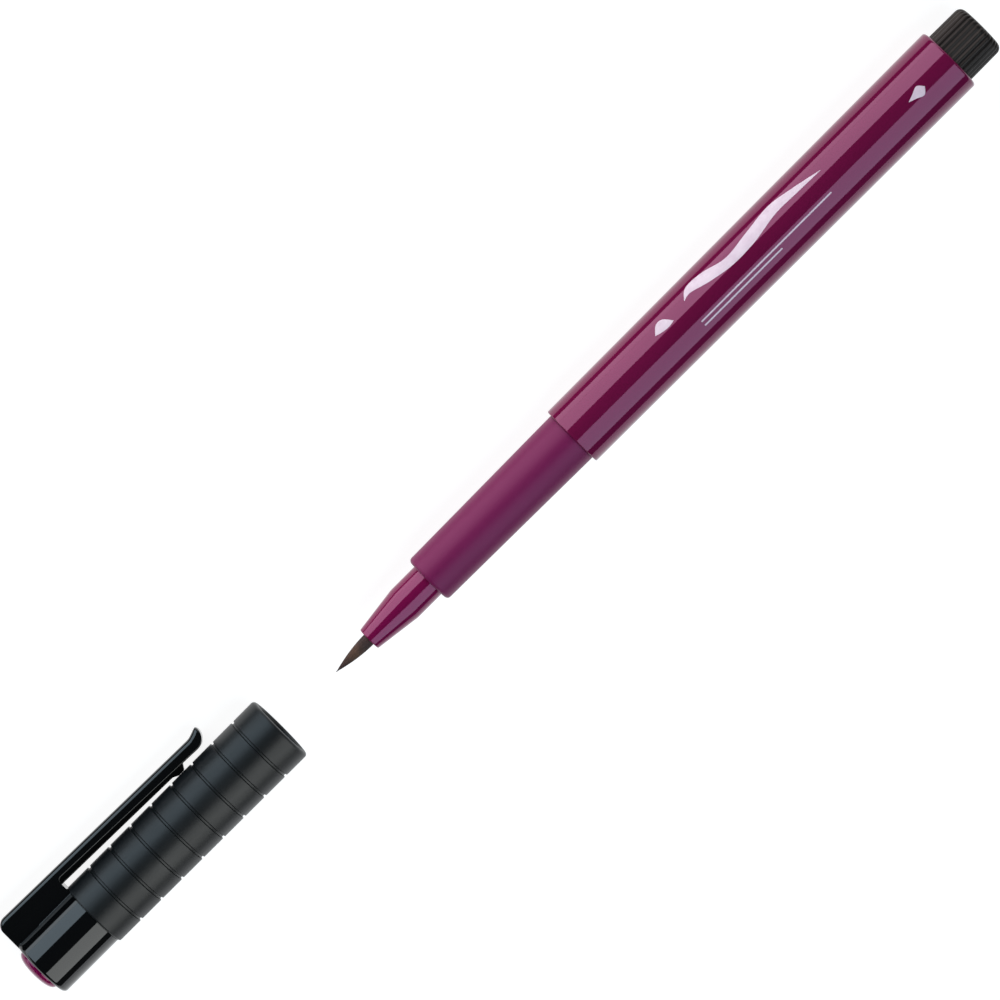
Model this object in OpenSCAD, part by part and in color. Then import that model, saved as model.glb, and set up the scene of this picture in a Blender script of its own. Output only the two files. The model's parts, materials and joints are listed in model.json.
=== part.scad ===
// Brush pen with a pull-off ribbed cap, lying on its side with the cap drawn off along its own axis.
// +X is the way the brush tip points, +Z is up, and the pen rests on z = 0.
// The origin is the middle of the whole length and width, at the height of the surface it rests on.
// Pen pieces are placed by their distance ahead of the barrel's front face, and cap pieces by their
// distance from the cap's mouth towards its closed end.

/* [Barrel] */
// Length of the barrel between its two faces
barrel_len = 85.4; // [60:0.2:120]
// Wall at the front face
barrel_wall_front = 1.10; // [0.8:0.05:1.6]
// Wall at the rear face
barrel_wall_rear = 1.38; // [0.8:0.02:2]
// Rounding of the front lip
barrel_lip_r = 0.3; // [0.1:0.05:0.5]
// Rounding of the rear edge
barrel_edge_r = 0.5; // [0.1:0.05:0.6]

/* [Grip] */
// Length of the grip sleeve
grip_len = 32.5; // [27:0.5:45]
// Thickness of the grip where it meets the barrel
grip_t_rear = 0.87; // [0.6:0.01:1.1]
// Thickness of the grip at the nose
grip_t_front = 0.55; // [0.45:0.01:1]
// Rounding of the grip's front edge
grip_edge_r = 0.45; // [0.1:0.05:0.45]
// Wall of the core that carries the grip sleeve
core_wall = 0.55; // [0.4:0.05:0.9]
// How far the spigot stands out from the core to fill the barrel's bore
spigot_step = 0.60; // [0.3:0.05:0.8]
// Length of the core's spigot inside the barrel
core_spigot_len = 12; // [6:0.5:20]

/* [Nose] */
// Radius of the nose's straight collar
nose_r = 3.10; // [2.5:0.05:3.75]
// Length of the straight collar
nose_collar_len = 5.35; // [3:0.05:8]
// Length of the tapered part
nose_cone_len = 8.05; // [5:0.05:12]
// Outer radius of the nose's mouth
nose_mouth_r = 2.05; // [1.8:0.05:2.6]
// Rounding of the mouth's outer edge
nose_edge_r = 0.25; // [0.1:0.05:0.3]
// Flare of the nib bore at the mouth, which leaves the brush tip room to bend
nose_flare = 0.3; // [0.2:0.05:0.4]

/* [Brush nib] */
// Radius of the nib
nib_r = 1.10; // [0.9:0.05:1.35]
// Length of the brush tip ahead of the mouth
nib_tip_len = 7.4; // [5:0.1:8.5]
// Fullness of the tip's curved sides
nib_fullness = 1.9; // [1.4:0.1:2.6]
// Length of the nib's stem inside the pen
nib_stem_len = 21; // [19:0.5:30]
// Radial clearance of the nib in its bore
nib_clear = 0.03; // [0.01:0.01:0.1]
// Gap between the stem and the tip's round heel
heel_gap = 0.15; // [0.05:0.05:0.3]

/* [Ink reservoir] */
// Radius of the fibre rod
fibre_r = 3.15; // [2.6:0.05:3.8]
// Thickness of the film around the fibre rod
film_t = 0.10; // [0.05:0.05:0.15]
// Radial clearance around the film
reservoir_clear = 0.05; // [0.02:0.01:0.2]
// Depth of the shoulder that the reservoir stops at, behind the grip's front end
reservoir_shoulder = 3.0; // [2:0.5:6]
// Distance from the reservoir's rear end to the barrel's rear face
reservoir_rear_gap = 5.8; // [3:0.1:8]

/* [Rear plug] */
// Length of the fluted head behind the barrel
plug_len = 7.1; // [4:0.1:10]
// Step from the barrel's bore out to the fluted head at the barrel
plug_step_front = 0.37; // [0.2:0.01:0.42]
// Step from the barrel's bore out to the fluted head at its end
plug_step_rear = 0.31; // [0.1:0.01:0.42]
// Rounding of the end
plug_edge_r = 1.2; // [0.2:0.1:1.2]
// Length of the plug's spigot in the barrel
plug_spigot_len = 9; // [5:0.5:14]
// Thickness of the plug's end wall
plug_end_t = 1.4; // [1:0.1:2.5]
// Number of flutes
flutes = 32; // [24:1:44]
// Radius of one flute
flute_r = 0.26; // [0.1:0.02:0.3]

/* [Cap sleeve] */
// Distance from the brush tip to the cap's mouth with the cap off
cap_drawn_gap = 12.6; // [5:0.05:40]
// Distance left between the mouth and the barrel's front face with the cap on
cap_seat_gap = 0.3; // [0.2:0.05:0.6]
// Radial clearance of the sleeve's bore around the grip
cap_slip_clear = 0.18; // [0.1:0.01:0.4]
// Wall of the sleeve at its mouth
sleeve_wall_mouth = 1.20; // [1:0.02:1.6]
// Wall of the sleeve at the head
sleeve_wall_rear = 1.08; // [1:0.02:1.6]
// Flare of the bore at the mouth
mouth_flare = 0.3; // [0.1:0.05:0.4]
// Rounding of the mouth's outer edge
mouth_edge_r = 0.5; // [0.2:0.05:0.5]
// Rounding of the sleeve's edge at the head
sleeve_edge_r = 0.3; // [0.1:0.05:0.4]
// Number of grooves around the sleeve
grooves = 8; // [4:1:8]
// Distance between grooves
groove_pitch = 4.66; // [3:0.02:4.9]
// Width of a groove's flat bottom
groove_w = 0.22; // [0.1:0.02:0.5]
// Depth of a groove
groove_depth = 0.32; // [0.1:0.02:0.5]
// Rounding of the shoulders beside a groove
groove_shoulder_r = 0.28; // [0.05:0.01:0.4]

/* [Cap head] */
// Length of the glossy head
head_len = 12.15; // [9:0.05:15]
// Step from the sleeve in to the head's surface
head_step = 0.35; // [0.2:0.01:0.5]
// Thickness of the head's end wall
head_end_t = 0.7; // [0.4:0.05:1.5]
// Rounding of the head's end
head_edge_r = 0.7; // [0.3:0.1:1.4]
// Radius of the coloured end disc
disc_r = 3.92; // [3.7:0.02:4.3]
// How far the disc stands out of the head
disc_h = 1.45; // [0.6:0.05:2]
// Rounding of the disc's rim
disc_edge_r = 0.6; // [0.2:0.1:0.6]
// Height of the disc's domed middle above its rim
disc_dome = 0.3; // [0.1:0.05:0.5]
// Width of the disc's ledge around its spigot
disc_ledge = 0.42; // [0.2:0.02:0.8]

/* [Inner cup] */
// Wall of the cup that seals around the nose
cup_wall = 0.8; // [0.5:0.05:0.85]
// Radial clearance between the cup and the nose's collar
cup_seal_clear = 0.05; // [0.02:0.01:0.1]
// Radial and end clearance between the cup and the head around it
cup_turn_clear = 0.05; // [0.02:0.01:0.1]
// Gap between the cup's mouth and the grip's end with the cap on
cup_mouth_gap = 0.3; // [0.1:0.05:0.6]
// Thickness of the cup's flange
cup_flange_t = 0.8; // [0.4:0.1:1.5]
// Radial clearance of the cup's flange in the sleeve
cup_flange_clear = 0.3; // [0.1:0.02:0.32]
// Gap between the brush tip and the cup's end with the cap on
cup_tip_gap = 0.3; // [0.2:0.05:0.6]
// Thickness of the cup's end wall
cup_end_t = 0.5; // [0.2:0.05:0.6]

/* [Pocket clip] */
// Rise of the clip's outer face above the sleeve's surface, at the head's end
clip_rise_root = 3.86; // [3:0.02:4.5]
// Rise of the clip's outer face where its tip begins to turn out
clip_rise_bend = 3.08; // [2.8:0.02:4]
// Rise that the turned-out tip reaches
clip_rise_tip = 3.71; // [3.3:0.01:4.5]
// Width of the clip at the head
clip_w_root = 5.5; // [4:0.1:6.4]
// Width of the clip at its tip
clip_w_tip = 4.7; // [3:0.1:5.6]
// Rounding along the clip's outer edges
clip_edge_r = 0.9; // [0.3:0.05:1]
// Thickness of the clip's blade at the head
blade_t_root = 1.8; // [1:0.05:2]
// Thickness of the clip's blade at its tip
blade_t_bend = 2.25; // [1.2:0.05:2.3]
// Distance from the head's end to where the tip begins to turn out
clip_bend_at = 42.8; // [36:0.2:48]
// Distance from the head's end to the very tip of the clip
clip_len = 45.1; // [39:0.1:52]
// Width of the stiffening rib under the blade
rib_w = 1.8; // [1:0.1:2.6]
// Gap between the rib's lower edge and the sleeve at the head
rib_gap_root = 0.9; // [0.7:0.01:1.3]
// Gap between the rib's lower edge and the sleeve at the bump
rib_gap_bump = 0.42; // [0.4:0.01:1]
// Distance from the head's end to the start of the bump
bump_at = 36.4; // [30:0.1:40]
// Length of the bump at the rib
bump_len = 3.1; // [2:0.1:4]
// Length of the bump's flat foot
bump_foot_len = 1.3; // [0.6:0.1:2]
// Gap between the bump's foot and the sleeve
bump_gap = 0.05; // [0.05:0.01:0.3]
// Gap between the fixed part of the clip and the part that flexes
clip_split = 0.05; // [0.03:0.01:0.1]

/* [Hidden] */

TURN_FN = 96;
ARC_STEPS = 6;
NIB_STEPS = 14;
EPS = 0.01;

MAGENTA_GLOSS = [0.42, 0.06, 0.26];
MAGENTA_MATTE = [0.45, 0.15, 0.31];
BLACK_GLOSS = [0.05, 0.05, 0.06];
BLACK_MATTE = [0.18, 0.19, 0.21];
BRUSH_BROWN = [0.24, 0.19, 0.16];
FIBRE_PINK = [0.62, 0.22, 0.42];
FILM_CLEAR = [0.85, 0.85, 0.88];
CUP_GREY = [0.55, 0.56, 0.58];

// Radii, from the ink outwards
film_r = fibre_r + film_t;
reservoir_bore_r = film_r + reservoir_clear;
core_r = reservoir_bore_r + core_wall;
grip_r_rear = core_r + grip_t_rear;
grip_r_front = core_r + grip_t_front;
barrel_bore_r = core_r + spigot_step;
barrel_r_front = barrel_bore_r + barrel_wall_front;
barrel_r_rear = barrel_bore_r + barrel_wall_rear;
plug_r_front = barrel_bore_r + plug_step_front;
plug_r_rear = barrel_bore_r + plug_step_rear;
sleeve_bore_r = grip_r_rear + cap_slip_clear;
sleeve_r_mouth = sleeve_bore_r + sleeve_wall_mouth;
sleeve_r_rear = sleeve_bore_r + sleeve_wall_rear;
head_r = sleeve_r_rear - head_step;
disc_spigot_r = disc_r - disc_ledge;

// The pen, ahead of the barrel's front face
mouth_at = grip_len + nose_collar_len + nose_cone_len;
tip_at = mouth_at + nib_tip_len;
pen_rear_at = -(barrel_len + plug_len);
nib_bore_r = nib_r + nib_clear;
heel_r = nib_r - nib_clear;
reservoir_front_at = grip_len - reservoir_shoulder;
reservoir_rear_at = -(barrel_len - reservoir_rear_gap);
stem_front_at = mouth_at - heel_r - heel_gap;
stem_rear_at = stem_front_at - nib_stem_len;

// The cap, from its mouth towards its closed end
cap_open = tip_at + cap_drawn_gap;
cup_mouth_at = grip_len - cap_seat_gap + cup_mouth_gap;
cup_bore_r = nose_r + cup_seal_clear;
cup_r = cup_bore_r + cup_wall;
cup_inner_end = tip_at - cap_seat_gap + cup_tip_gap;
cup_end = cup_inner_end + cup_end_t;
cup_flange_r = sleeve_bore_r - cup_flange_clear;
head_bore_r = cup_r + cup_turn_clear;
head_floor = cup_end + cup_turn_clear;
head_end = head_floor + head_end_t;
sleeve_len = head_end - head_len;
head_spigot_at = cup_mouth_at + cup_flange_t + cup_turn_clear;
first_groove = (sleeve_len - (grooves - 1) * groove_pitch) / 2;

// The clip, from the head's end towards the cap's mouth
slot_at = head_len;
clip_h_root = sleeve_r_mouth + clip_rise_root;
clip_h_bend = sleeve_r_mouth + clip_rise_bend;
clip_h_tip = sleeve_r_mouth + clip_rise_tip;
rib_h_root = sleeve_r_mouth + rib_gap_root;
rib_h_bump = sleeve_r_mouth + rib_gap_bump;
clip_fall = (clip_h_root - clip_h_bend) / clip_bend_at;
nub_foot_h = sleeve_r_mouth + bump_gap;

// The cap rests on its mouth, rolled until the clip's outer corner touches the surface too
axis_z = max(sleeve_r_mouth, barrel_r_rear);
corner_out = clip_h_root - clip_edge_r;
corner_side = clip_w_root / 2 - clip_edge_r;
clip_roll = asin((axis_z - clip_edge_r) / norm([corner_out, corner_side])) - atan(corner_side / corner_out);
clip_reach_y = corner_out * cos(clip_roll) + corner_side * sin(clip_roll) + clip_edge_r;

// The origin halves the overall length and width
cap_end_at = cap_open + head_end + disc_h;
front_x = -(pen_rear_at + cap_end_at) / 2;
axis_y = (clip_reach_y - axis_z) / 2;

function sleeve_r(at) = sleeve_r_mouth + (sleeve_r_rear - sleeve_r_mouth) * at / sleeve_len;
function clip_h(at) = clip_h_root - clip_fall * at;
function clip_w(at) = clip_w_root + (clip_w_tip - clip_w_root) * at / clip_len;
function blade_t(at) = blade_t_root + (blade_t_bend - blade_t_root) * (at - slot_at) / (clip_bend_at - slot_at);
function arc(centre, r, from, to) = [
    for (i = [0:ARC_STEPS])
        let (a = from + (to - from) * i / ARC_STEPS)
            [centre[0] + r * cos(a), centre[1] + r * sin(a)]
];

// Turns a profile of [radius, distance along the axis] points into a solid
module turned(profile) {
    rotate_extrude($fn = TURN_FN) polygon(profile);
}

// Puts a piece that was turned about Z onto the pen's axis, measured from the barrel's front face
module on_pen_axis() {
    translate([front_x, axis_y, axis_z]) rotate([0, 90, 0]) children();
}

// The same, measured from the mouth of the drawn-off cap
module on_cap_axis() {
    translate([front_x + cap_open, axis_y, axis_z]) rotate([0, 90, 0]) children();
}

// Puts a clip piece, drawn with +X towards the mouth and +Z away from the cap, onto the cap
module on_clip_side() {
    translate([front_x + cap_open + head_end, axis_y, axis_z])
        rotate([90 + clip_roll, 0, 0]) mirror([1, 0, 0]) children();
}

module barrel() {
    profile = concat(
        [[barrel_bore_r, -barrel_len]],
        arc([barrel_r_rear - barrel_edge_r, -barrel_len + barrel_edge_r], barrel_edge_r, -90, 0),
        arc([barrel_r_front - barrel_lip_r, -barrel_lip_r], barrel_lip_r, 0, 90),
        [[barrel_bore_r, 0]]
    );
    color(MAGENTA_GLOSS) on_pen_axis() turned(profile);
}

module grip_sleeve() {
    profile = concat(
        [[core_r, 0], [grip_r_rear, 0]],
        arc([grip_r_front - grip_edge_r, grip_len - grip_edge_r], grip_edge_r, 0, 90),
        [[core_r, grip_len]]
    );
    color(MAGENTA_MATTE) on_pen_axis() turned(profile);
}

// The moulding that joins the barrel, carries the grip and ends in the nose
module front_section() {
    profile = concat(
        [
            [reservoir_bore_r, -core_spigot_len], [barrel_bore_r, -core_spigot_len],
            [barrel_bore_r, 0], [core_r, 0], [core_r, grip_len],
            [nose_r, grip_len], [nose_r, grip_len + nose_collar_len]
        ],
        arc([nose_mouth_r - nose_edge_r, mouth_at - nose_edge_r], nose_edge_r, 0, 90),
        [
            [nib_bore_r + nose_flare, mouth_at], [nib_bore_r, mouth_at - nose_flare],
            [nib_bore_r, reservoir_front_at], [reservoir_bore_r, reservoir_front_at]
        ]
    );
    color(MAGENTA_GLOSS) on_pen_axis() turned(profile);
}

module brush_stem() {
    color(BRUSH_BROWN) on_pen_axis()
        translate([0, 0, stem_rear_at]) cylinder(h = nib_stem_len, r = nib_r, $fn = TURN_FN);
}

// The pointed tip, with a round heel that it bends about in the nose's mouth
module brush_tip() {
    heel = arc([0, 0], heel_r, -90, 0);
    sides = [
        for (i = [0:NIB_STEPS])
            let (s = i / NIB_STEPS) [nib_r * (1 - pow(s, nib_fullness)), nib_tip_len * s]
    ];
    color(BRUSH_BROWN) on_pen_axis() translate([0, 0, mouth_at]) turned(concat(heel, sides));
}

module ink_fibre() {
    rod_len = reservoir_front_at - reservoir_rear_at;
    color(FIBRE_PINK) on_pen_axis() difference() {
        translate([0, 0, reservoir_rear_at]) cylinder(h = rod_len, r = fibre_r, $fn = TURN_FN);
        translate([0, 0, stem_rear_at])
            cylinder(h = nib_stem_len, r = nib_r, $fn = TURN_FN);
    }
}

module reservoir_film() {
    profile = [
        [fibre_r, reservoir_rear_at], [film_r, reservoir_rear_at],
        [film_r, reservoir_front_at], [fibre_r, reservoir_front_at]
    ];
    color(FILM_CLEAR) on_pen_axis() turned(profile);
}

module rear_plug() {
    hollow_end = pen_rear_at + plug_end_t;
    profile = concat(
        [[0, pen_rear_at]],
        arc([plug_r_rear - plug_edge_r, pen_rear_at + plug_edge_r], plug_edge_r, -90, 0),
        [
            [plug_r_front, -barrel_len], [barrel_bore_r, -barrel_len],
            [barrel_bore_r, -barrel_len + plug_spigot_len],
            [reservoir_bore_r, -barrel_len + plug_spigot_len],
            [reservoir_bore_r, hollow_end], [0, hollow_end]
        ]
    );
    color(BLACK_MATTE) on_pen_axis() difference() {
        turned(profile);
        for (i = [0:flutes - 1])
            rotate([0, 0, 360 * i / flutes]) translate([plug_r_front, 0, pen_rear_at - EPS])
                cylinder(h = plug_len + EPS, r = flute_r, $fn = 24);
    }
}

// One groove of the sleeve, as two rounded shoulders with a flat bottom between them
function groove(at) = let (r = sleeve_r(at), s = groove_shoulder_r, w = groove_w / 2) concat(
    arc([r - s, at - w - s], s, 0, 90),
    [[r - groove_depth, at - w], [r - groove_depth, at + w]],
    arc([r - s, at + w + s], s, -90, 0)
);

module cap_sleeve() {
    ribs = [for (i = [0:grooves - 1]) each groove(first_groove + i * groove_pitch)];
    profile = concat(
        [[sleeve_bore_r, mouth_flare], [sleeve_bore_r + mouth_flare, 0]],
        arc([sleeve_r_mouth - mouth_edge_r, mouth_edge_r], mouth_edge_r, -90, 0),
        ribs,
        arc([sleeve_r_rear - sleeve_edge_r, sleeve_len - sleeve_edge_r], sleeve_edge_r, 0, 90),
        [[sleeve_bore_r, sleeve_len]]
    );
    color(BLACK_MATTE) on_cap_axis() turned(profile);
}

module cap_head() {
    profile = concat(
        [
            [head_bore_r, head_spigot_at], [sleeve_bore_r, head_spigot_at],
            [sleeve_bore_r, sleeve_len], [head_r, sleeve_len]
        ],
        arc([head_r - head_edge_r, head_end - head_edge_r], head_edge_r, 0, 90),
        [[disc_spigot_r, head_end], [disc_spigot_r, head_floor], [head_bore_r, head_floor]]
    );
    color(BLACK_GLOSS) on_cap_axis() turned(profile);
}

module colour_disc() {
    rim_at = head_end + disc_h - disc_dome;
    dome_r = (pow(disc_r - disc_edge_r, 2) + pow(disc_dome, 2)) / (2 * disc_dome);
    dome_angle = asin((disc_r - disc_edge_r) / dome_r);
    profile = concat(
        [[0, head_floor], [disc_spigot_r, head_floor], [disc_spigot_r, head_end], [disc_r, head_end]],
        arc([disc_r - disc_edge_r, rim_at - disc_edge_r], disc_edge_r, 0, 90),
        arc([0, rim_at + disc_dome - dome_r], dome_r, 90 - dome_angle, 90)
    );
    color(MAGENTA_GLOSS) on_cap_axis() turned(profile);
}

// The cup that keeps the brush tip moist, with the flange that stops it in the head
module inner_cup() {
    flange_end = cup_mouth_at + cup_flange_t;
    profile = [
        [cup_bore_r, cup_mouth_at], [cup_flange_r, cup_mouth_at], [cup_flange_r, flange_end],
        [cup_r, flange_end], [cup_r, cup_end], [0, cup_end], [0, cup_inner_end], [cup_bore_r, cup_inner_end]
    ];
    color(CUP_GREY) on_cap_axis() turned(profile);
}

// A thin slice across the clip with its two outer edges rounded, hanging down from z = 0
module clip_slice(width, depth) {
    side = width / 2;
    outline = concat(
        [[-side, -depth], [side, -depth]],
        arc([side - clip_edge_r, -clip_edge_r], clip_edge_r, 0, 90),
        arc([-side + clip_edge_r, -clip_edge_r], clip_edge_r, 90, 180)
    );
    rotate([90, 0, 90]) linear_extrude(EPS) polygon(outline);
}

// The fixed block of the clip, which stands on the head
module clip_root() {
    side_view = concat(
        [[slot_at, 0], [slot_at, clip_h_root + 1], [head_edge_r, clip_h_root + 1]],
        arc([head_edge_r, clip_h_root - head_edge_r], head_edge_r, 90, 180),
        arc([head_edge_r, head_r - head_edge_r], head_edge_r, 180, 90)
    );
    color(BLACK_GLOSS) on_clip_side() difference() {
        intersection() {
            hull() {
                translate([0, 0, clip_h(0)]) clip_slice(clip_w(0), clip_h(0));
                translate([slot_at - EPS, 0, clip_h(slot_at)]) clip_slice(clip_w(slot_at), clip_h(slot_at));
            }
            rotate([90, 0, 0]) linear_extrude(2 * clip_w_root, center = true) polygon(side_view);
        }
        translate([-EPS, 0, 0]) rotate([0, 90, 0]) cylinder(h = head_len + 2 * EPS, r = head_r, $fn = TURN_FN);
    }
}

// The blade that flexes, its stiffening rib, the bump that pinches the cloth and the turned-out tip
module clip_arm() {
    start = slot_at + clip_split;
    bump_end = bump_at + bump_len;
    foot_at = bump_at + bump_len / 2;
    nose_slope = 45;
    rib_view = [
        [start, clip_h(start) - blade_t_root / 2], [start, rib_h_root], [bump_at, rib_h_bump],
        [foot_at - bump_foot_len / 2, nub_foot_h], [foot_at + bump_foot_len / 2, nub_foot_h],
        [bump_end, clip_h(bump_end) - blade_t(bump_end)], [bump_end, clip_h(bump_end) - blade_t_root / 2]
    ];
    color(BLACK_GLOSS) on_clip_side() {
        hull() {
            translate([start, 0, clip_h(start)]) clip_slice(clip_w(start), blade_t_root);
            translate([clip_bend_at, 0, clip_h_bend]) clip_slice(clip_w(clip_bend_at), blade_t_bend);
        }
        hull() {
            translate([clip_bend_at, 0, clip_h_bend]) clip_slice(clip_w(clip_bend_at), blade_t_bend);
            translate([clip_len, 0, clip_h_tip]) rotate([0, -nose_slope, 0])
                clip_slice(clip_w_tip, blade_t_bend / 2);
        }
        rotate([90, 0, 0]) linear_extrude(rib_w, center = true) polygon(rib_view);
    }
}

barrel();
grip_sleeve();
front_section();
brush_stem();
brush_tip();
ink_fibre();
reservoir_film();
rear_plug();
cap_sleeve();
cap_head();
colour_disc();
inner_cup();
clip_root();
clip_arm();
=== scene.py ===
"""Visual model of a fibre-tip brush pen lying beside its drawn-off cap."""

import json
import logging
import math
from dataclasses import dataclass
from enum import Enum
from typing import Callable, Optional, Sequence

import bmesh
import bpy
from mathutils import Matrix, Vector


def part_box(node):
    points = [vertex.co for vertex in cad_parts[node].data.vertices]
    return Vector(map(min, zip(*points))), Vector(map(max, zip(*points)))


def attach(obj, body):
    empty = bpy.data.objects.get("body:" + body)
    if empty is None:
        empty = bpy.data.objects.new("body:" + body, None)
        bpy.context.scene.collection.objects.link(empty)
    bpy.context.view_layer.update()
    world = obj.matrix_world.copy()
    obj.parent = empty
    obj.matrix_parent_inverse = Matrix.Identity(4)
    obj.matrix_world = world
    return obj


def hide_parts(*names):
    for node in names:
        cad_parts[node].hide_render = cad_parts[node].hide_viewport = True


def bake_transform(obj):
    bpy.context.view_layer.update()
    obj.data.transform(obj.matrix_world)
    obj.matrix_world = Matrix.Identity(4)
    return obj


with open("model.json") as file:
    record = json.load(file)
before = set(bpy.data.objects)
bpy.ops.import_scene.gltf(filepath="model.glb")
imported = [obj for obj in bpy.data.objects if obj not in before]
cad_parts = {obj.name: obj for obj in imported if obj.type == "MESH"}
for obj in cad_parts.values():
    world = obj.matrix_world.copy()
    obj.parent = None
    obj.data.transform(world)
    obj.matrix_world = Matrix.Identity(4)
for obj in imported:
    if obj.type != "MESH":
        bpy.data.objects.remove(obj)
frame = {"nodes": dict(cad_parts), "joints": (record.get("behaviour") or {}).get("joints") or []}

LOG = logging.getLogger("brush_pen")
MM = 0.001
SHARP_ANGLE = math.radians(32)
# Points nearer than this, in metres, are one point.
MERGE_DISTANCE = 1e-7
# Lengths that differ by less than this, in millimetres, are the same place.
SAME_MM = 1e-4


class Body(Enum):
    """The CAD bodies that pieces ride on."""

    PEN = "pen"
    NIB = "nib"
    LINER = "cap_liner"
    CAP = "cap"
    CLIP = "clip"


class LitAs(Enum):
    """The two halves of the studio, each lit by its own panels."""

    PEN = "lit_as_pen"
    CAP = "lit_as_cap"


class Along(Enum):
    """The way a finish's streaks run."""

    AXIS = "axis"
    NONE = "none"


# --------------------------------------------------------------------------------------
# The pen's own frame
# --------------------------------------------------------------------------------------


def box_mm(node: str) -> tuple[Vector, Vector]:
    """The lowest and highest corner of a CAD node, in millimetres."""
    low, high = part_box(node)
    return low / MM, high / MM


@dataclass(frozen=True)
class PenAxis:
    """The common axis of the pen and its cap, in millimetres.

    Attributes:
        y: Place of the axis across the pen.
        z: Height of the axis.
        out: Direction from the axis to the clip.
        face: Direction square to both the axis and the clip, the printed side.
    """

    y: float
    z: float
    out: Vector
    face: Vector

    @classmethod
    def from_frame(cls) -> "PenAxis":
        """Reads the axis from the barrel and the clip's joint.

        Returns:
            The axis.
        """
        low, high = box_mm("barrel")
        centre = (low + high) / 2
        flex = next(j for j in frame["joints"] if j["name"] == "clip_flex")
        face = Vector(flex["axis"]).normalized()
        return cls(centre.y, centre.z, Vector((1, 0, 0)).cross(face), face)

    def point(self, x: float, r: float, angle: float) -> Vector:
        """A point around the axis.

        Args:
            x: Place along the axis, in millimetres.
            r: Distance from the axis, in millimetres.
            angle: Turn in radians from the printed side, away from the clip.

        Returns:
            The point in metres, in the row frame.
        """
        away = self.face * math.cos(angle) - self.out * math.sin(angle)
        return Vector((x, self.y + r * away.y, self.z + r * away.z)) * MM

    def beside(self, x: float, across: float, height: float) -> Vector:
        """A point in the clip's own directions.

        Args:
            x: Place along the axis, in millimetres.
            across: Distance along the clip's width, in millimetres.
            height: Distance from the axis towards the clip, in millimetres.

        Returns:
            The point in metres, in the row frame.
        """
        away = self.out * height + self.face * across
        return Vector((x, self.y + away.y, self.z + away.z)) * MM


# --------------------------------------------------------------------------------------
# Node helper and finishes
# --------------------------------------------------------------------------------------


def linear(hex_colour: str, alpha: float = 1.0) -> tuple[float, float, float, float]:
    """Turns an sRGB hex colour into linear values.

    Args:
        hex_colour: Six hex digits, with or without a leading hash.
        alpha: Opacity to add.

    Returns:
        Red, green, blue and alpha.
    """
    digits = hex_colour.lstrip("#")
    parts = [int(digits[i : i + 2], 16) / 255 for i in (0, 2, 4)]
    r, g, b = (c / 12.92 if c <= 0.04045 else ((c + 0.055) / 1.055) ** 2.4 for c in parts)
    return r, g, b, alpha


def per_mm(size_mm: float) -> float:
    """The noise scale, in cycles a metre, of a pattern that repeats every size_mm."""
    return 1 / (size_mm * MM)


def add(
    tree: bpy.types.NodeTree,
    kind: str,
    values: Optional[dict] = None,
    links: Optional[dict] = None,
    stops: Sequence[tuple[float, str]] = (),
    **settings: object,
) -> bpy.types.Node:
    """Adds a node with its settings, socket values and incoming links.

    Args:
        tree: The material's node tree.
        kind: The node's type, without the leading ShaderNode.
        values: Default values by input name or index.
        links: Output sockets by the input name or index that they feed.
        stops: Places and hex colours of a colour ramp, in order.
        **settings: Properties of the node itself.

    Returns:
        The new node.
    """
    made = tree.nodes.new("ShaderNode" + kind)
    for name, value in settings.items():
        setattr(made, name, value)
    for key, value in (values or {}).items():
        made.inputs[key].default_value = value
    for key, source in (links or {}).items():
        tree.links.new(source, made.inputs[key])
    for i, (place, colour) in enumerate(stops):
        elements = made.color_ramp.elements
        element = elements[i] if i < len(elements) else elements.new(1.0)
        element.position = place
        element.color = linear(colour)
    return made


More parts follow.
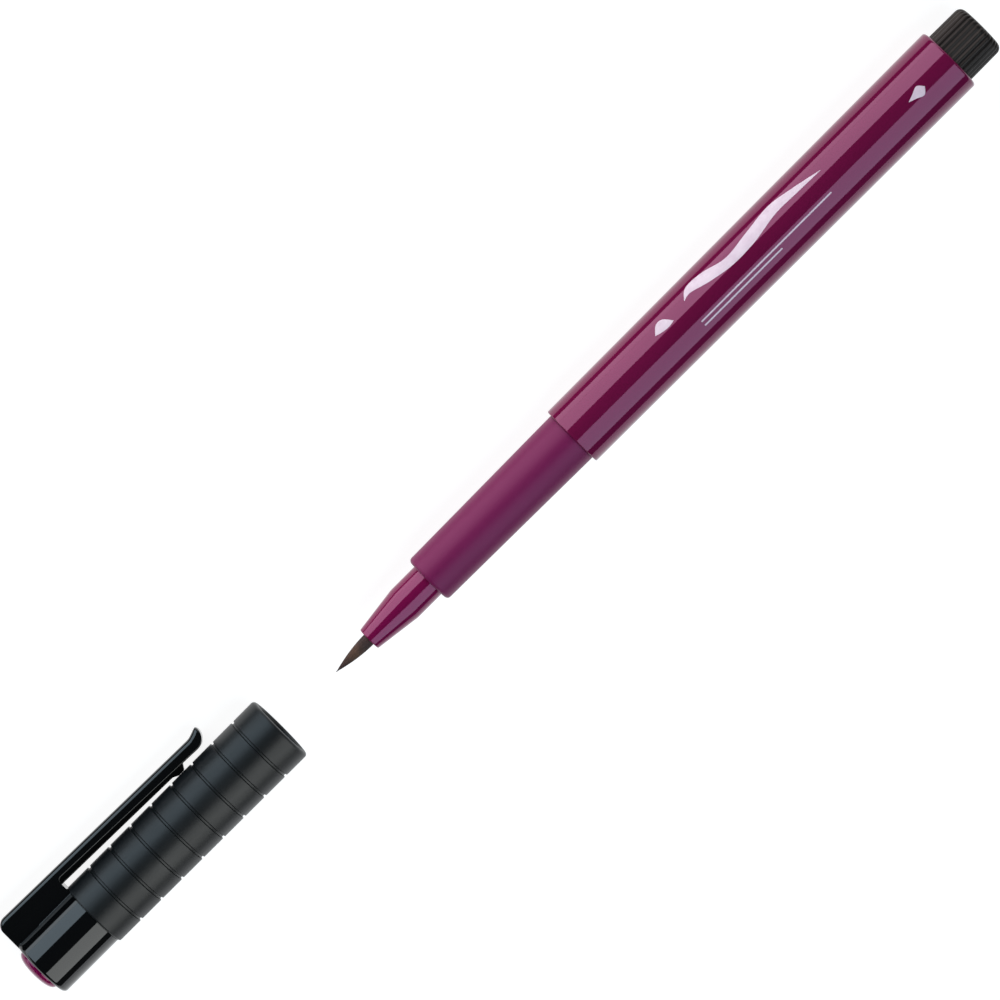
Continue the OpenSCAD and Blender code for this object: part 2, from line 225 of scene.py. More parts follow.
@dataclass(frozen=True)
class MouldedPlastic:
    """Injection-moulded plastic with a polished, satin or spark-eroded surface.

    Attributes:
        name: What it is and how its surface was made.
        colour: Main colour.
        drift: Colour that it drifts to where the pigment flowed unevenly.
        roughness: Mean roughness.
        roughness_swing: How far the roughness wanders each way.
        ior: Index of refraction.
        gloss: Strength of the reflections, 0.5 for the plain index of refraction.
        gloss_tint: Colour that the tinted plastic gives its reflections.
        ripple_mm: Spacing of the slow waviness of the moulded wall.
        ripple_depth_mm: Height of that waviness.
        grain_mm: Spacing of the fine surface grain.
        grain_depth_mm: Height of that grain.
        streaks: Whether flow lines run along the pen.
        drift_mm: Size of the colour drift.
        glow: Share of light that enters the tinted plastic and comes back.
    """

    name: str
    colour: str
    drift: str
    roughness: float
    roughness_swing: float = 0.02
    ior: float = 1.49
    gloss: float = 0.5
    gloss_tint: str = "#FFFFFF"
    ripple_mm: float = 6.0
    ripple_depth_mm: float = 0.002
    grain_mm: float = 0.35
    grain_depth_mm: float = 0.0004
    streaks: Along = Along.AXIS
    drift_mm: float = 9.0
    glow: float = 0.0

    def material(self) -> bpy.types.Material:
        """Builds the node material.

        Returns:
            The material.
        """
        made = bpy.data.materials.new(self.name)
        made.use_nodes = True
        tree = made.node_tree
        tree.nodes.clear()
        place = add(tree, "TexCoord")
        stretch = (0.18, 1.0, 1.0) if self.streaks is Along.AXIS else (1.0, 1.0, 1.0)
        along = add(tree, "Mapping", {"Scale": stretch}, {"Vector": place.outputs["Object"]})
        clouds = add(
            tree, "TexNoise",
            {"Scale": per_mm(self.drift_mm), "Detail": 3.0, "Roughness": 0.55},
            {"Vector": along.outputs["Vector"]},
        )
        colour = add(
            tree, "ValToRGB", links={"Fac": clouds.outputs["Fac"]},
            stops=[(0.35, self.colour), (0.72, self.drift)],
        )
        smears = add(
            tree, "TexNoise",
            {"Scale": per_mm(self.drift_mm * 0.3), "Detail": 5.0, "Roughness": 0.6},
            {"Vector": along.outputs["Vector"]},
        )
        rough = add(
            tree, "MapRange",
            {
                "From Min": 0.3, "From Max": 0.7,
                "To Min": self.roughness - self.roughness_swing,
                "To Max": self.roughness + self.roughness_swing,
            },
            {"Value": smears.outputs["Fac"]},
        )
        ripple = add(
            tree, "TexNoise",
            {"Scale": per_mm(self.ripple_mm), "Detail": 1.0},
            {"Vector": along.outputs["Vector"]},
        )
        slow = add(
            tree, "Bump",
            {"Strength": 1.0, "Distance": self.ripple_depth_mm * MM},
            {"Height": ripple.outputs["Fac"]},
        )
        grain = add(
            tree, "TexNoise",
            {"Scale": per_mm(self.grain_mm), "Detail": 2.0, "Roughness": 0.5},
            {"Vector": place.outputs["Object"]},
        )
        fine = add(
            tree, "Bump",
            {"Strength": 1.0, "Distance": self.grain_depth_mm * MM},
            {"Height": grain.outputs["Fac"], "Normal": slow.outputs["Normal"]},
        )
        shader = add(
            tree, "BsdfPrincipled",
            {
                "IOR": self.ior,
                "Specular IOR Level": self.gloss,
                "Specular Tint": linear(self.gloss_tint),
                "Subsurface Weight": self.glow,
            },
            {
                "Base Color": colour.outputs["Color"],
                "Roughness": rough.outputs["Result"],
                "Normal": fine.outputs["Normal"],
            },
        )
        shader.inputs["Subsurface Radius"].default_value = (0.0012, 0.0004, 0.0006)
        shader.inputs["Subsurface Scale"].default_value = 1.0
        add(tree, "OutputMaterial", links={"Surface": shader.outputs["BSDF"]})
        return made


@dataclass(frozen=True)
class FibreBundle:
    """Fine synthetic fibres laid along the pen, stained by ink, with an optional painted highlight band.

    Attributes:
        name: What it is and how its surface was made.
        dark: Colour of the soaked fibres.
        light: Colour of the drier fibres.
        painted_highlight: Colour of a painted highlight along the middle of the tip.
        fibre_mm: Spacing of the fibres, drawn coarse enough to show.
        depth_mm: Height of the fibres.
        roughness: Mean roughness.
        gloss: Strength of the reflections, 0.5 for the plain index of refraction.
        painted_highlight_at: Start and end of the painted highlight along the axis, in millimetres, or None.
    """

    name: str
    dark: str
    light: str
    painted_highlight: str
    fibre_mm: float
    depth_mm: float
    roughness: float
    gloss: float = 0.25
    painted_highlight_at: Optional[tuple[float, float]] = None

    def material(self) -> bpy.types.Material:
        """Builds the node material.

        Returns:
            The material.
        """
        made = bpy.data.materials.new(self.name)
        made.use_nodes = True
        tree = made.node_tree
        tree.nodes.clear()
        place = add(tree, "TexCoord")
        along = add(tree, "Mapping", {"Scale": (0.05, 1.0, 1.0)}, {"Vector": place.outputs["Object"]})
        fibres = add(
            tree, "TexNoise",
            {"Scale": per_mm(self.fibre_mm), "Detail": 3.0, "Roughness": 0.65},
            {"Vector": along.outputs["Vector"]},
        )
        stain = add(
            tree, "TexNoise",
            {"Scale": per_mm(2.2), "Detail": 3.0},
            {"Vector": place.outputs["Object"]},
        )
        blend = add(
            tree, "Math", {1: 0.45}, {0: stain.outputs["Fac"]}, operation="MULTIPLY"
        )
        streak = add(
            tree, "Math", links={0: fibres.outputs["Fac"], 1: blend.outputs["Value"]}, operation="ADD"
        )
        colour = add(
            tree, "ValToRGB", links={"Fac": streak.outputs["Value"]},
            stops=[(0.55, self.dark), (0.92, self.light)],
        )
        tint = colour.outputs["Color"]
        # Painted highlight: a lighter band over the middle of the tip, broken up by the stain noise; it
        # stands in for light, not for a colour of the fibres.
        if self.painted_highlight_at:
            split = add(tree, "SeparateXYZ", links={"Vector": place.outputs["Object"]})
            start, end = (x * MM for x in self.painted_highlight_at)
            rise = add(
                tree, "MapRange", {"From Min": start, "From Max": (start + end) / 2},
                {"Value": split.outputs["X"]}, interpolation_type="SMOOTHSTEP",
            )
            fall = add(
                tree, "MapRange", {"From Min": end, "From Max": (start + end) / 2},
                {"Value": split.outputs["X"]}, interpolation_type="SMOOTHSTEP",
            )
            both = add(
                tree, "Math", links={0: rise.outputs["Result"], 1: fall.outputs["Result"]},
                operation="MULTIPLY",
            )
            highlight_mask = add(
                tree, "Math", links={0: both.outputs["Value"], 1: stain.outputs["Fac"]},
                operation="MULTIPLY",
            )
            painted_highlight = add(
                tree, "Mix", {7: linear(self.painted_highlight)},
                {0: highlight_mask.outputs["Value"], 6: tint}, data_type="RGBA",
            )
            tint = painted_highlight.outputs[2]
        bump = add(
            tree, "Bump", {"Strength": 1.0, "Distance": self.depth_mm * MM},
            {"Height": fibres.outputs["Fac"]},
        )
        rough = add(
            tree, "MapRange",
            {"To Min": self.roughness + 0.12, "To Max": self.roughness - 0.12},
            {"Value": fibres.outputs["Fac"]},
        )
        shader = add(
            tree, "BsdfPrincipled", {"IOR": 1.5, "Specular IOR Level": self.gloss},
            {"Base Color": tint, "Roughness": rough.outputs["Result"], "Normal": bump.outputs["Normal"]},
        )
        add(tree, "OutputMaterial", links={"Surface": shader.outputs["BSDF"]})
        return made


@dataclass(frozen=True)
class Panel:
    """A long light panel beside the pen.

    Attributes:
        name: Name of the light.
        lights: The half of the studio that it lights, or None for all of it.
        side: 1 for the clip's side, -1 for the other.
        angles: First and last angle that it fills, in degrees from the printed side.
        glow: Hex colour of its light.
        radiance: Brightness that the pen sees.
        strip_from: Where its strip on the floor starts beside the axis at the middle, in millimetres.
        strip_lean: How much nearer that edge comes per millimetre towards the cap.
    """

    name: str
    lights: Optional[LitAs]
    side: int
    angles: tuple[float, float]
    glow: str
    radiance: float
    strip_from: float = 0.0
    strip_lean: float = 0.0


@dataclass(frozen=True)
class Studio:
    """The light table, the light panels, the black flag and the camera.

    Attributes:
        floor_side: Side of the square floor, in metres.
        floor_colour: Colour that the floor gives back of the panels' light.
        floor_glow: Radiance of the light that comes up through the floor.
        floor_shine: Radiance of the lit floor, which shows through a strip light lying on it.
        panel_distance: Distance of the panels from the pen, in metres.
        half_length: Half the length of the panels, in millimetres.
        near_angles: Angles that the clip-side panels fill, down to the floor.
        flag: Outline of the flag: places along the pen with its near and far edge beside the axis.
        strip_end: Where the strip lights on the floor end beside the axis, in millimetres.
        camera_distance: Distance of the camera from the pen's axis, in metres.
        view_width: Width that the camera sees at the axis, in millimetres.
        foot_behind: How far towards the plug the camera stands from the middle, in millimetres.
        aim_ahead: How far towards the cap the camera aims from the middle, in millimetres.
        aim_out: How far towards the clip the camera aims, in millimetres.
    """

    floor_side: float = 6.0
    floor_colour: str = "#8A8A8B"
    floor_glow: float = 0.89
    floor_shine: float = 1.09
    panel_distance: float = 0.6
    half_length: float = 450.0
    near_angles: tuple[float, float] = (24.5, 67.2)
    flag: tuple[tuple[float, float, float], ...] = (
        (-115.0, 17.8, 33.4), (-15.0, 13.9, 24.4), (46.0, 13.9, 24.4),
        (46.5, 15.0, 40.0), (115.0, 15.0, 40.0),
    )
    strip_end: float = 640.0
    camera_distance: float = 1.4
    view_width: float = 160.0
    foot_behind: float = 30.25
    aim_ahead: float = 0.6
    aim_out: float = 0.93

    def panels(self) -> list[Panel]:
        """The four panels: neutral and slightly cool ones, crossed over for the cap.

        Returns:
            The panels, nearest first for the pen and then for the cap.
        """
        return [
            Panel("near_panel_pen", LitAs.PEN, 1, self.near_angles, "#F7FBFF", 2.77, 22.75, 0.09),
            Panel("far_panel_pen", LitAs.PEN, -1, (22.5, 77.0), "#DCF3FF", 2.10),
            Panel("near_panel_cap", LitAs.CAP, 1, self.near_angles, "#D9F0FF", 2.46, 39.4),
            Panel("far_panel_cap", LitAs.CAP, -1, (27.0, 78.5), "#FBFFFE", 2.50),
        ]

    @property
    def wall(self) -> Panel:
        """The pale wall behind the far panels, which lights the whole object."""
        return Panel("far_wall", None, -1, (103.5, 112.0), "#F4F8FF", 1.1)

    def build(self, axis: PenAxis) -> None:
        """Builds the floor, the lights, the surroundings and the camera.

        Args:
            axis: The pen's axis.
        """
        half = self.floor_side / MM / 2
        self._sheet("floor", [(-half, -half, half), (half, -half, half)])
        flag = [(x, axis.y - far, axis.y - near) for x, near, far in self.flag]
        self._sheet("flag", flag, raised=0.4)
        for panel in self.panels():
            self._hung(panel, axis)
            if panel.side > 0:
                self._strip(panel, axis)
        self._hung(self.wall, axis)
        self._surroundings()
        self._camera(axis)

    def _sheet(self, name: str, stations: list[tuple[float, float, float]], raised: float = 0.0) -> None:
        """Adds the floor, or the black flag that lies beside the pen for reflections only.

        Args:
            name: Name of the sheet.
            stations: Places along X with the lowest and highest Y there, in millimetres.
            raised: Height of the flag above the floor, in millimetres; 0 makes the floor.
        """
        mesh = bpy.data.meshes.new(name)
        corners = [Vector((x, y, raised)) * MM for x, *ends in stations for y in ends]
        faces = [(2 * i, 2 * i + 2, 2 * i + 3, 2 * i + 1) for i in range(len(stations) - 1)]
        mesh.from_pydata(corners, [], faces)
        sheet = bpy.data.objects.new(name, mesh)
        bpy.context.scene.collection.objects.link(sheet)
        # The floor is opal acrylic lit from below, nearly without shadows; the flag is black felt.
        cover = bpy.data.materials.new("black_felt_matted" if raised else "opal_acrylic_light_table")
        cover.use_nodes = True
        shader = cover.node_tree.nodes["Principled BSDF"]
        shader.inputs["Roughness"].default_value = 0.9
        shader.inputs["Specular IOR Level"].default_value = 0.1
        shader.inputs["Base Color"].default_value = linear("#020202" if raised else self.floor_colour)
        if raised:
            sheet.visible_camera = sheet.visible_diffuse = sheet.visible_shadow = False
        else:
            shader.inputs["Emission Color"].default_value = linear("#FFFFFF")
            shader.inputs["Emission Strength"].default_value = self.floor_glow
            lit_group(LitAs.PEN).objects.link(sheet)
        mesh.materials.append(cover)

    def _lamp(
        self,
        panel: Panel,
        name: str,
        width: float,
        glow: float,
        place: Vector,
        back: Vector,
        along: Vector = Vector((1, 0, 0)),
    ) -> None:
        """Adds an area light.

        Args:
            panel: The panel that it belongs to.
            name: Name of the light.
            width: Its width, in metres.
            glow: Its radiance.
            place: Its middle, in metres.
            back: The direction that its back faces.
            along: The direction of its long side.
        """
        data = bpy.data.lights.new(name, "AREA")
        data.shape = "RECTANGLE"
        data.size = 2 * self.half_length * MM
        data.size_y = width
        data.energy = math.pi * data.size * data.size_y * glow
        data.color = linear(panel.glow)[:3]
        lamp = bpy.data.objects.new(name, data)
        bpy.context.scene.collection.objects.link(lamp)
        turned = Matrix((along, back.cross(along), back)).transposed().to_4x4()
        lamp.matrix_world = Matrix.Translation(place) @ turned
        lamp.visible_camera = False
        if panel.lights is not None:
            lamp.light_linking.receiver_collection = lit_group(panel.lights)

    def _hung(self, panel: Panel, axis: PenAxis) -> None:
        """Hangs a panel beside the camera, facing the pen.

        Args:
            panel: The panel.
            axis: The pen's axis.
        """
        first, last = (math.radians(a) for a in panel.angles)
        middle, half = (first + last) / 2, (last - first) / 2
        away = axis.face * math.cos(middle) + axis.out * (panel.side * math.sin(middle))
        place = Vector((0.0, axis.y, axis.z)) * MM + away * self.panel_distance
        width = 2 * self.panel_distance * math.tan(half)
        self._lamp(panel, panel.name, width, panel.radiance, place, away)

    def _strip(self, panel: Panel, axis: PenAxis) -> None:
        """Lays a strip light on the floor that carries a panel on below the horizon.

        Args:
            panel: The panel that it carries on.
            axis: The pen's axis.
        """
        near, far = panel.strip_from, self.strip_end
        place = Vector((0.0, axis.y - (near + far) / 2, 1.0)) * MM
        glow = panel.radiance - self.floor_shine
        along = Vector((1.0, panel.strip_lean, 0.0)).normalized()
        self._lamp(panel, panel.name + "_strip", (far - near) * MM, glow, place, Vector((0, 0, -1)), along)

    def _surroundings(self) -> None:
        """Makes a dim room for reflections with a pale backdrop for the camera."""
        world = bpy.data.worlds.new("room")
        bpy.context.scene.world = world
        world.use_nodes = True
        tree = world.node_tree
        tree.nodes.clear()
        ray = add(tree, "LightPath")
        dim = add(tree, "Background", {"Color": linear("#B8BCC2"), "Strength": 0.06})
        pale = add(tree, "Background", {"Color": linear("#F4F4F5"), "Strength": 1.0})
        mixed = add(
            tree, "MixShader",
            links={0: ray.outputs["Is Camera Ray"], 1: dim.outputs[0], 2: pale.outputs[0]},
        )
        add(tree, "OutputWorld", links={"Surface": mixed.outputs[0]})

    def _camera(self, axis: PenAxis) -> None:
        """Adds the camera, turned so that the pen runs from corner to corner.

        Args:
            axis: The pen's axis.
        """
        foot = Vector((-self.foot_behind, axis.y, axis.z)) * MM
        aim = axis.beside(self.aim_ahead, 0.0, self.aim_out)
        place = foot + axis.face * self.camera_distance
        back = (place - aim).normalized()
        up_guess = Vector((-1, 0, 0)) + axis.out
        up = (up_guess - back * up_guess.dot(back)).normalized()
        right = up.cross(back)
        data = bpy.data.cameras.new("camera")
        data.sensor_width = 36.0
        data.lens = data.sensor_width * (place - aim).length / (self.view_width * MM)
        data.clip_start, data.clip_end = 0.05, 20.0
        camera = bpy.data.objects.new("camera", data)
        bpy.context.scene.collection.objects.link(camera)
        camera.matrix_world = Matrix.Translation(place) @ Matrix((right, up, back)).transposed().to_4x4()
        bpy.context.scene.camera = camera


# --------------------------------------------------------------------------------------
# Mesh helpers
# --------------------------------------------------------------------------------------


@dataclass(frozen=True)
class Corner:
    """A corner of a turned outline, in millimetres.

    Attributes:
        x: Place along the axis.
        r: Distance from the axis.
        rounding: Radius that rounds the corner.
    """

    x: float
    r: float
    rounding: float = 0.0


def rounded(corners: Sequence[Corner], steps: int = 7) -> list[tuple[float, float]]:
    """Rounds the corners of a closed outline.

    Args:
        corners: The outline's corners in order.
        steps: Spans in each rounded corner.

    Returns:
        Points as (x, r), in millimetres.
    """
    points: list[tuple[float, float]] = []
    for i, corner in enumerate(corners):
        here = Vector((corner.x, corner.r))
        if corner.rounding <= 0:
            points.append((here.x, here.y))
            continue
        before, after = (
            (Vector((c.x, c.r)) - here).normalized()
            for c in (corners[i - 1], corners[(i + 1) % len(corners)])
        )
        half = before.angle(after) / 2
        centre = here + (before + after).normalized() * (corner.rounding / math.sin(half))
        start = here + before * (corner.rounding / math.tan(half)) - centre
        end = here + after * (corner.rounding / math.tan(half)) - centre
        first = math.atan2(start.y, start.x)
        sweep = (math.atan2(end.y, end.x) - first + math.pi) % math.tau - math.pi
        for k in range(steps + 1):
            a = first + sweep * k / steps
            across, up = corner.rounding * math.cos(a), corner.rounding * math.sin(a)
            points.append((centre.x + across, centre.y + up))
    return points


def finish_mesh(name: str, shape: bmesh.types.BMesh) -> bpy.types.Object:
    """Turns a bmesh into a smooth-shaded object in the scene.

    Args:
        name: Name of the object.
        shape: The mesh, which is freed.

    Returns:
        The new object.
    """
    bmesh.ops.remove_doubles(shape, verts=shape.verts, dist=MERGE_DISTANCE)
    bmesh.ops.recalc_face_normals(shape, faces=shape.faces)
    mesh = bpy.data.meshes.new(name)
    shape.to_mesh(mesh)
    shape.free()
    for face in mesh.polygons:
        face.use_smooth = True
    mesh.set_sharp_from_angle(angle=SHARP_ANGLE)
    made = bpy.data.objects.new(name, mesh)
    bpy.context.scene.collection.objects.link(made)
    return made


def turn(
    name: str,
    axis: PenAxis,
    outline: Sequence[tuple[float, float]],
    segments: int = 144,
    shift: Optional[Callable[[float, float, float], float]] = None,
) -> bpy.types.Object:
    """Turns a closed outline about the pen's axis.

    Args:
        name: Name of the object.
        axis: The pen's axis.
        outline: Points as (x, r), in millimetres.
        segments: Spans round the axis.
        shift: Optional change of radius in millimetres, from x, r and the angle.

    Returns:
        The new object.
    """
    shape = bmesh.new()
    rings = []
    for x, r in outline:
        if r < 1e-6:
            rings.append([shape.verts.new(axis.point(x, 0, 0))])
            continue
        ring = []
        for k in range(segments):
            a = math.tau * k / segments
            ring.append(shape.verts.new(axis.point(x, r + (shift(x, r, a) if shift else 0.0), a)))
        rings.append(ring)
    for i, ring in enumerate(rings):
        other = rings[(i + 1) % len(rings)]
        if len(ring) == 1 and len(other) == 1:
            continue
        for k in range(segments):
            j = (k + 1) % segments
            loop = [ring[k % len(ring)], ring[j % len(ring)], other[j % len(other)], other[k % len(other)]]
            shape.faces.new(list(dict.fromkeys(loop)))
    return finish_mesh(name, shape)


def loft(name: str, rings: Sequence[Sequence[Vector]]) -> bpy.types.Object:
    """Skins a row of closed rings with equal point counts and closes both ends.

    Args:
        name: Name of the object.
        rings: The rings' points, in metres.

    Returns:
        The new object.
    """
    shape = bmesh.new()
    skin(shape, rings)
    return finish_mesh(name, shape)


def skin(shape: bmesh.types.BMesh, rings: Sequence[Sequence[Vector]]) -> None:
    """Adds the skin of a row of closed rings to a bmesh.

    Args:
        shape: The mesh that it is added to.
        rings: The rings' points, in metres.
    """
    rows = [[shape.verts.new(p) for p in ring] for ring in rings]
    count = len(rows[0])
    for near, far in zip(rows, rows[1:]):
        for k in range(count):
            j = (k + 1) % count
            shape.faces.new((near[k], near[j], far[j], far[k]))
    for end in (rows[0], rows[-1]):
        middle = sum((v.co for v in end), Vector()) / count
        hub = shape.verts.new(middle)
        for k in range(count):
            shape.faces.new((end[k], end[(k + 1) % count], hub))


def curve_through(points: Sequence[tuple[float, ...]], steps: int) -> list[tuple[float, ...]]:
    """Runs a smooth curve through points.

    Args:
        points: The points that it passes.
        steps: Spans between two points.

    Returns:
        The curve's points.
    """
    padded = [points[0], *points, points[-1]]
    curve = []
    for i in range(1, len(padded) - 2):
        p0, p1, p2, p3 = padded[i - 1 : i + 3]
        for k in range(steps):
            t = k / steps
            curve.append(
                tuple(
                    0.5 * (
                        2 * b + (c - a) * t + (2 * a - 5 * b + 4 * c - d) * t * t
                        + (3 * b - a - 3 * c + d) * t ** 3
                    )
                    for a, b, c, d in zip(p0, p1, p2, p3)
                )
            )
    curve.append(tuple(points[-1]))
    return curve


def lit_group(half: LitAs) -> bpy.types.Collection:
    """The collection that the panels of one half of the studio light."""
    return bpy.data.collections.get(half.value) or bpy.data.collections.new(half.value)


def light(piece: bpy.types.Object, body: Body) -> None:
    """Puts a piece in the light of its half of the studio."""
    half = LitAs.PEN if body in (Body.PEN, Body.NIB) else LitAs.CAP
    lit_group(half).objects.link(piece)


def dress(
    piece: bpy.types.Object,
    body: Body,
    material: bpy.types.Material,
    replaced: Sequence[str] = (),
) -> bpy.types.Object:
    """Gives a piece its material, slot, replaced nodes and body.

    Args:
        piece: The new piece.
        body: The body that it rides on.
        material: The material.
        replaced: CAD nodes that it stands for.

    Returns:
        The same piece.
    """
    piece.data.materials.clear()
    piece.data.materials.append(material)
    if replaced:
        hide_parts(*replaced)
    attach(piece, body.value)
    light(piece, body)
    LOG.info("%s: %d faces, rides on %s", piece.name, len(piece.data.polygons), body.value)
    return piece


# --------------------------------------------------------------------------------------
# Finishes of this pen
# --------------------------------------------------------------------------------------

# Polystyrene from a polished mould: clear-edged reflections over a deep magenta.
POLISHED_MAGENTA = MouldedPlastic(
    "polystyrene_polished_magenta", "#670F39", "#5F0C34", roughness=0.05, ior=1.59,
    gloss=0.63, gloss_tint="#FFB5DE", roughness_swing=0.015, ripple_depth_mm=0.0015, grain_depth_mm=0.0001,
)
# The same plastic on the nose, with a slightly brighter base colour.
POLISHED_NOSE = MouldedPlastic(
    "polystyrene_polished_nose", "#720C40", "#680A3A", roughness=0.06, ior=1.59,
    gloss=0.66, gloss_tint="#FFB5DE", roughness_swing=0.015, ripple_depth_mm=0.0012, grain_depth_mm=0.0001,
)
# Polypropylene from a spark-eroded mould: soft wide highlights and a fine even grain.
SPARKED_MAGENTA = MouldedPlastic(
    "polypropylene_spark_eroded_magenta", "#6E1648", "#671243", roughness=0.45, ior=1.49,
    gloss=0.4, gloss_tint="#FFBFE2", roughness_swing=0.04, ripple_depth_mm=0.003, grain_mm=0.14,
    grain_depth_mm=0.006,
)
# Polypropylene with a fine matte texture and a blue-black pigment.
MATTE_BLUE_BLACK = MouldedPlastic(
    "polypropylene_matte_blue_black", "#0E1113", "#0B0E10", roughness=0.42, ior=1.49,
    gloss=0.42, roughness_swing=0.05, ripple_depth_mm=0.004, grain_mm=0.12, grain_depth_mm=0.006,
)
# ABS from a polished mould, pigmented black: almost all the eye sees is reflection.
POLISHED_BLACK = MouldedPlastic(
    "abs_polished_black", "#060708", "#090A0B", roughness=0.06, ior=1.54,
    roughness_swing=0.015, ripple_depth_mm=0.0015, grain_depth_mm=0.0001,
)
# Polypropylene with a satin mould finish on the fluted plug.
SATIN_BLACK = MouldedPlastic(
    "polypropylene_satin_black", "#0E0D0D", "#0B0A0A", roughness=0.42, ior=1.49, gloss=0.38,
    gloss_tint="#FFE9E0", roughness_swing=0.05, ripple_depth_mm=0.002, grain_mm=0.15, grain_depth_mm=0.003,
)
# Polyethylene of the sealing cup, as it leaves the mould.
WAXY_BLACK = MouldedPlastic(
    "polyethylene_as_moulded_black", "#0C0D0E", "#101112", roughness=0.4, ior=1.51,
    roughness_swing=0.05, grain_mm=0.3, grain_depth_mm=0.002,
)
# Polished polystyrene of the coloured disc, brighter than the barrel because it is thin.
POLISHED_DISC = MouldedPlastic(
    "polystyrene_polished_disc", "#7E0A4A", "#6E0840", roughness=0.06, ior=1.59,
    gloss_tint="#FFBFE2", roughness_swing=0.015, drift_mm=3.0, ripple_depth_mm=0.001,
    grain_depth_mm=0.0001, glow=0.1,
)
# Pad-printed ink: a thin, slightly rough pale film.
PAD_PRINTED_INK = MouldedPlastic(
    "pad_printed_pale_ink", "#D8C3CF", "#CDB4C3", roughness=0.35, ior=1.5,
    roughness_swing=0.08, drift_mm=1.5, grain_mm=0.12, grain_depth_mm=0.002, streaks=Along.NONE,
)
# Polyester film rolled round the fibre rod.
ROLLED_FILM = MouldedPlastic(
    "polyester_rolled_film", "#C9C9D2", "#BDBDC8", roughness=0.15, ior=1.6,
    roughness_swing=0.04, drift_mm=5.0,
)


# --------------------------------------------------------------------------------------
# Sub-assemblies
# --------------------------------------------------------------------------------------


@dataclass
class Barrel:
    """The long glossy tube and its printed marks.

    Attributes:
        axis: The pen's axis.
        wall: Wall at the front face, in millimetres.
        taper: How much slimmer the front's radius is than the rear's.
        lip: Rounding of the front lip.
        edge: Rounding of the rear edge.
        bore_edge: Rounding of the bore's edges.
    """

    axis: PenAxis
    wall: float = 1.10
    taper: float = 0.28
    lip: float = 0.2
    edge: float = 0.5
    bore_edge: float = 0.1

    def __post_init__(self) -> None:
        """Takes the tube's ends and radii from the CAD node."""
        low, high = box_mm("barrel")
        self.rear, self.front = low.x, high.x
        self.rear_r = (high.z - low.z) / 2
        self.front_r = self.rear_r - self.taper

    def radius(self, x: float) -> float:
        """The barrel's radius at a place along it, in millimetres."""
        share = (x - self.rear) / (self.front - self.rear)
        return self.rear_r + (self.front_r - self.rear_r) * share

    def build(self) -> None:
        """Builds the tube and its marks."""
        bore = self.front_r - self.wall
        outline = rounded(
            [
                Corner(self.rear, bore, self.bore_edge),
                Corner(self.rear, self.rear_r, self.edge),
                Corner(self.front, self.front_r, self.lip),
                Corner(self.front, bore, self.bore_edge),
            ]
        )
        tube = turn("barrel_tube", self.axis, outline, segments=192)
        dress(tube, Body.PEN, POLISHED_MAGENTA.material(), ["barrel"])
        PrintedMarks(self.axis, self).build()


@dataclass(frozen=True)
class Stroke:
    """A painted stroke on the barrel.

    Attributes:
        name: Name of the stroke.
        spine: Points as (distance behind the barrel's front, place round, half width), in millimetres.
    """

    name: str
    spine: Sequence[tuple[float, float, float]]


@dataclass
class PrintedMarks:
    """Plain brush-stroke marks printed on the barrel: a swash, rules, a drop and a leaf.

    Attributes:
        axis: The pen's axis.
        barrel: The barrel that carries the marks.
        film: Height of the ink film above the barrel, in millimetres.
        steps: Spans between two points of a stroke.
        lanes: Spans across a stroke.
    """

    axis: PenAxis
    barrel: "Barrel"
    film: float = 0.02
    steps: int = 10
    lanes: int = 6

    def strokes(self) -> list[Stroke]:
        """The strokes of the print.

        Returns:
            A leaf, a swash, two rules and a drop.
        """
        return [
            Stroke(
                "print_leaf",
                [(20.8, -1.9, 0.02), (22.0, -2.3, 0.75), (23.4, -2.2, 0.8), (24.6, -1.6, 0.02)],
            ),
            Stroke(
                "print_swash",
                [
                    (28.0, -2.6, 0.03), (29.6, -3.4, 0.55), (33.0, -2.9, 0.95), (37.5, -2.0, 0.8),
                    (42.5, -2.3, 1.0), (48.0, -3.0, 0.85), (53.0, -2.6, 0.5), (58.0, -2.0, 0.03),
                ],
            ),
            Stroke("print_rule_long", [(27.6, 1.7, 0.12), (42.0, 1.7, 0.13), (56.8, 1.7, 0.12)]),
            Stroke("print_rule_short", [(27.6, 2.5, 0.12), (36.0, 2.5, 0.13), (45.0, 2.5, 0.12)]),
            Stroke(
                "print_drop",
                [(75.6, 0.3, 0.02), (76.8, 0.3, 0.45), (78.2, 0.3, 0.95), (79.2, 0.3, 0.02)],
            ),
        ]

    def build(self) -> None:
        """Builds every stroke."""
        ink = PAD_PRINTED_INK.material()
        for stroke in self.strokes():
            dress(self._film(stroke), Body.PEN, ink)

    def _film(self, stroke: Stroke) -> bpy.types.Object:
        """Builds one stroke as a thin closed film on the barrel.

        Args:
            stroke: The stroke.

        Returns:
            The new object.
        """
        rings = []
        for behind, middle, half in curve_through(stroke.spine, self.steps):
            x = self.barrel.front - behind
            r = self.barrel.radius(x)
            places = [middle + half * (2 * k / self.lanes - 1) for k in range(self.lanes + 1)]
            upper = [self.axis.point(x, r + self.film, math.asin(p / r)) for p in places]
            lower = [self.axis.point(x, r - self.film, math.asin(p / r)) for p in reversed(places)]
            rings.append(upper + lower)
        return loft(stroke.name, rings)


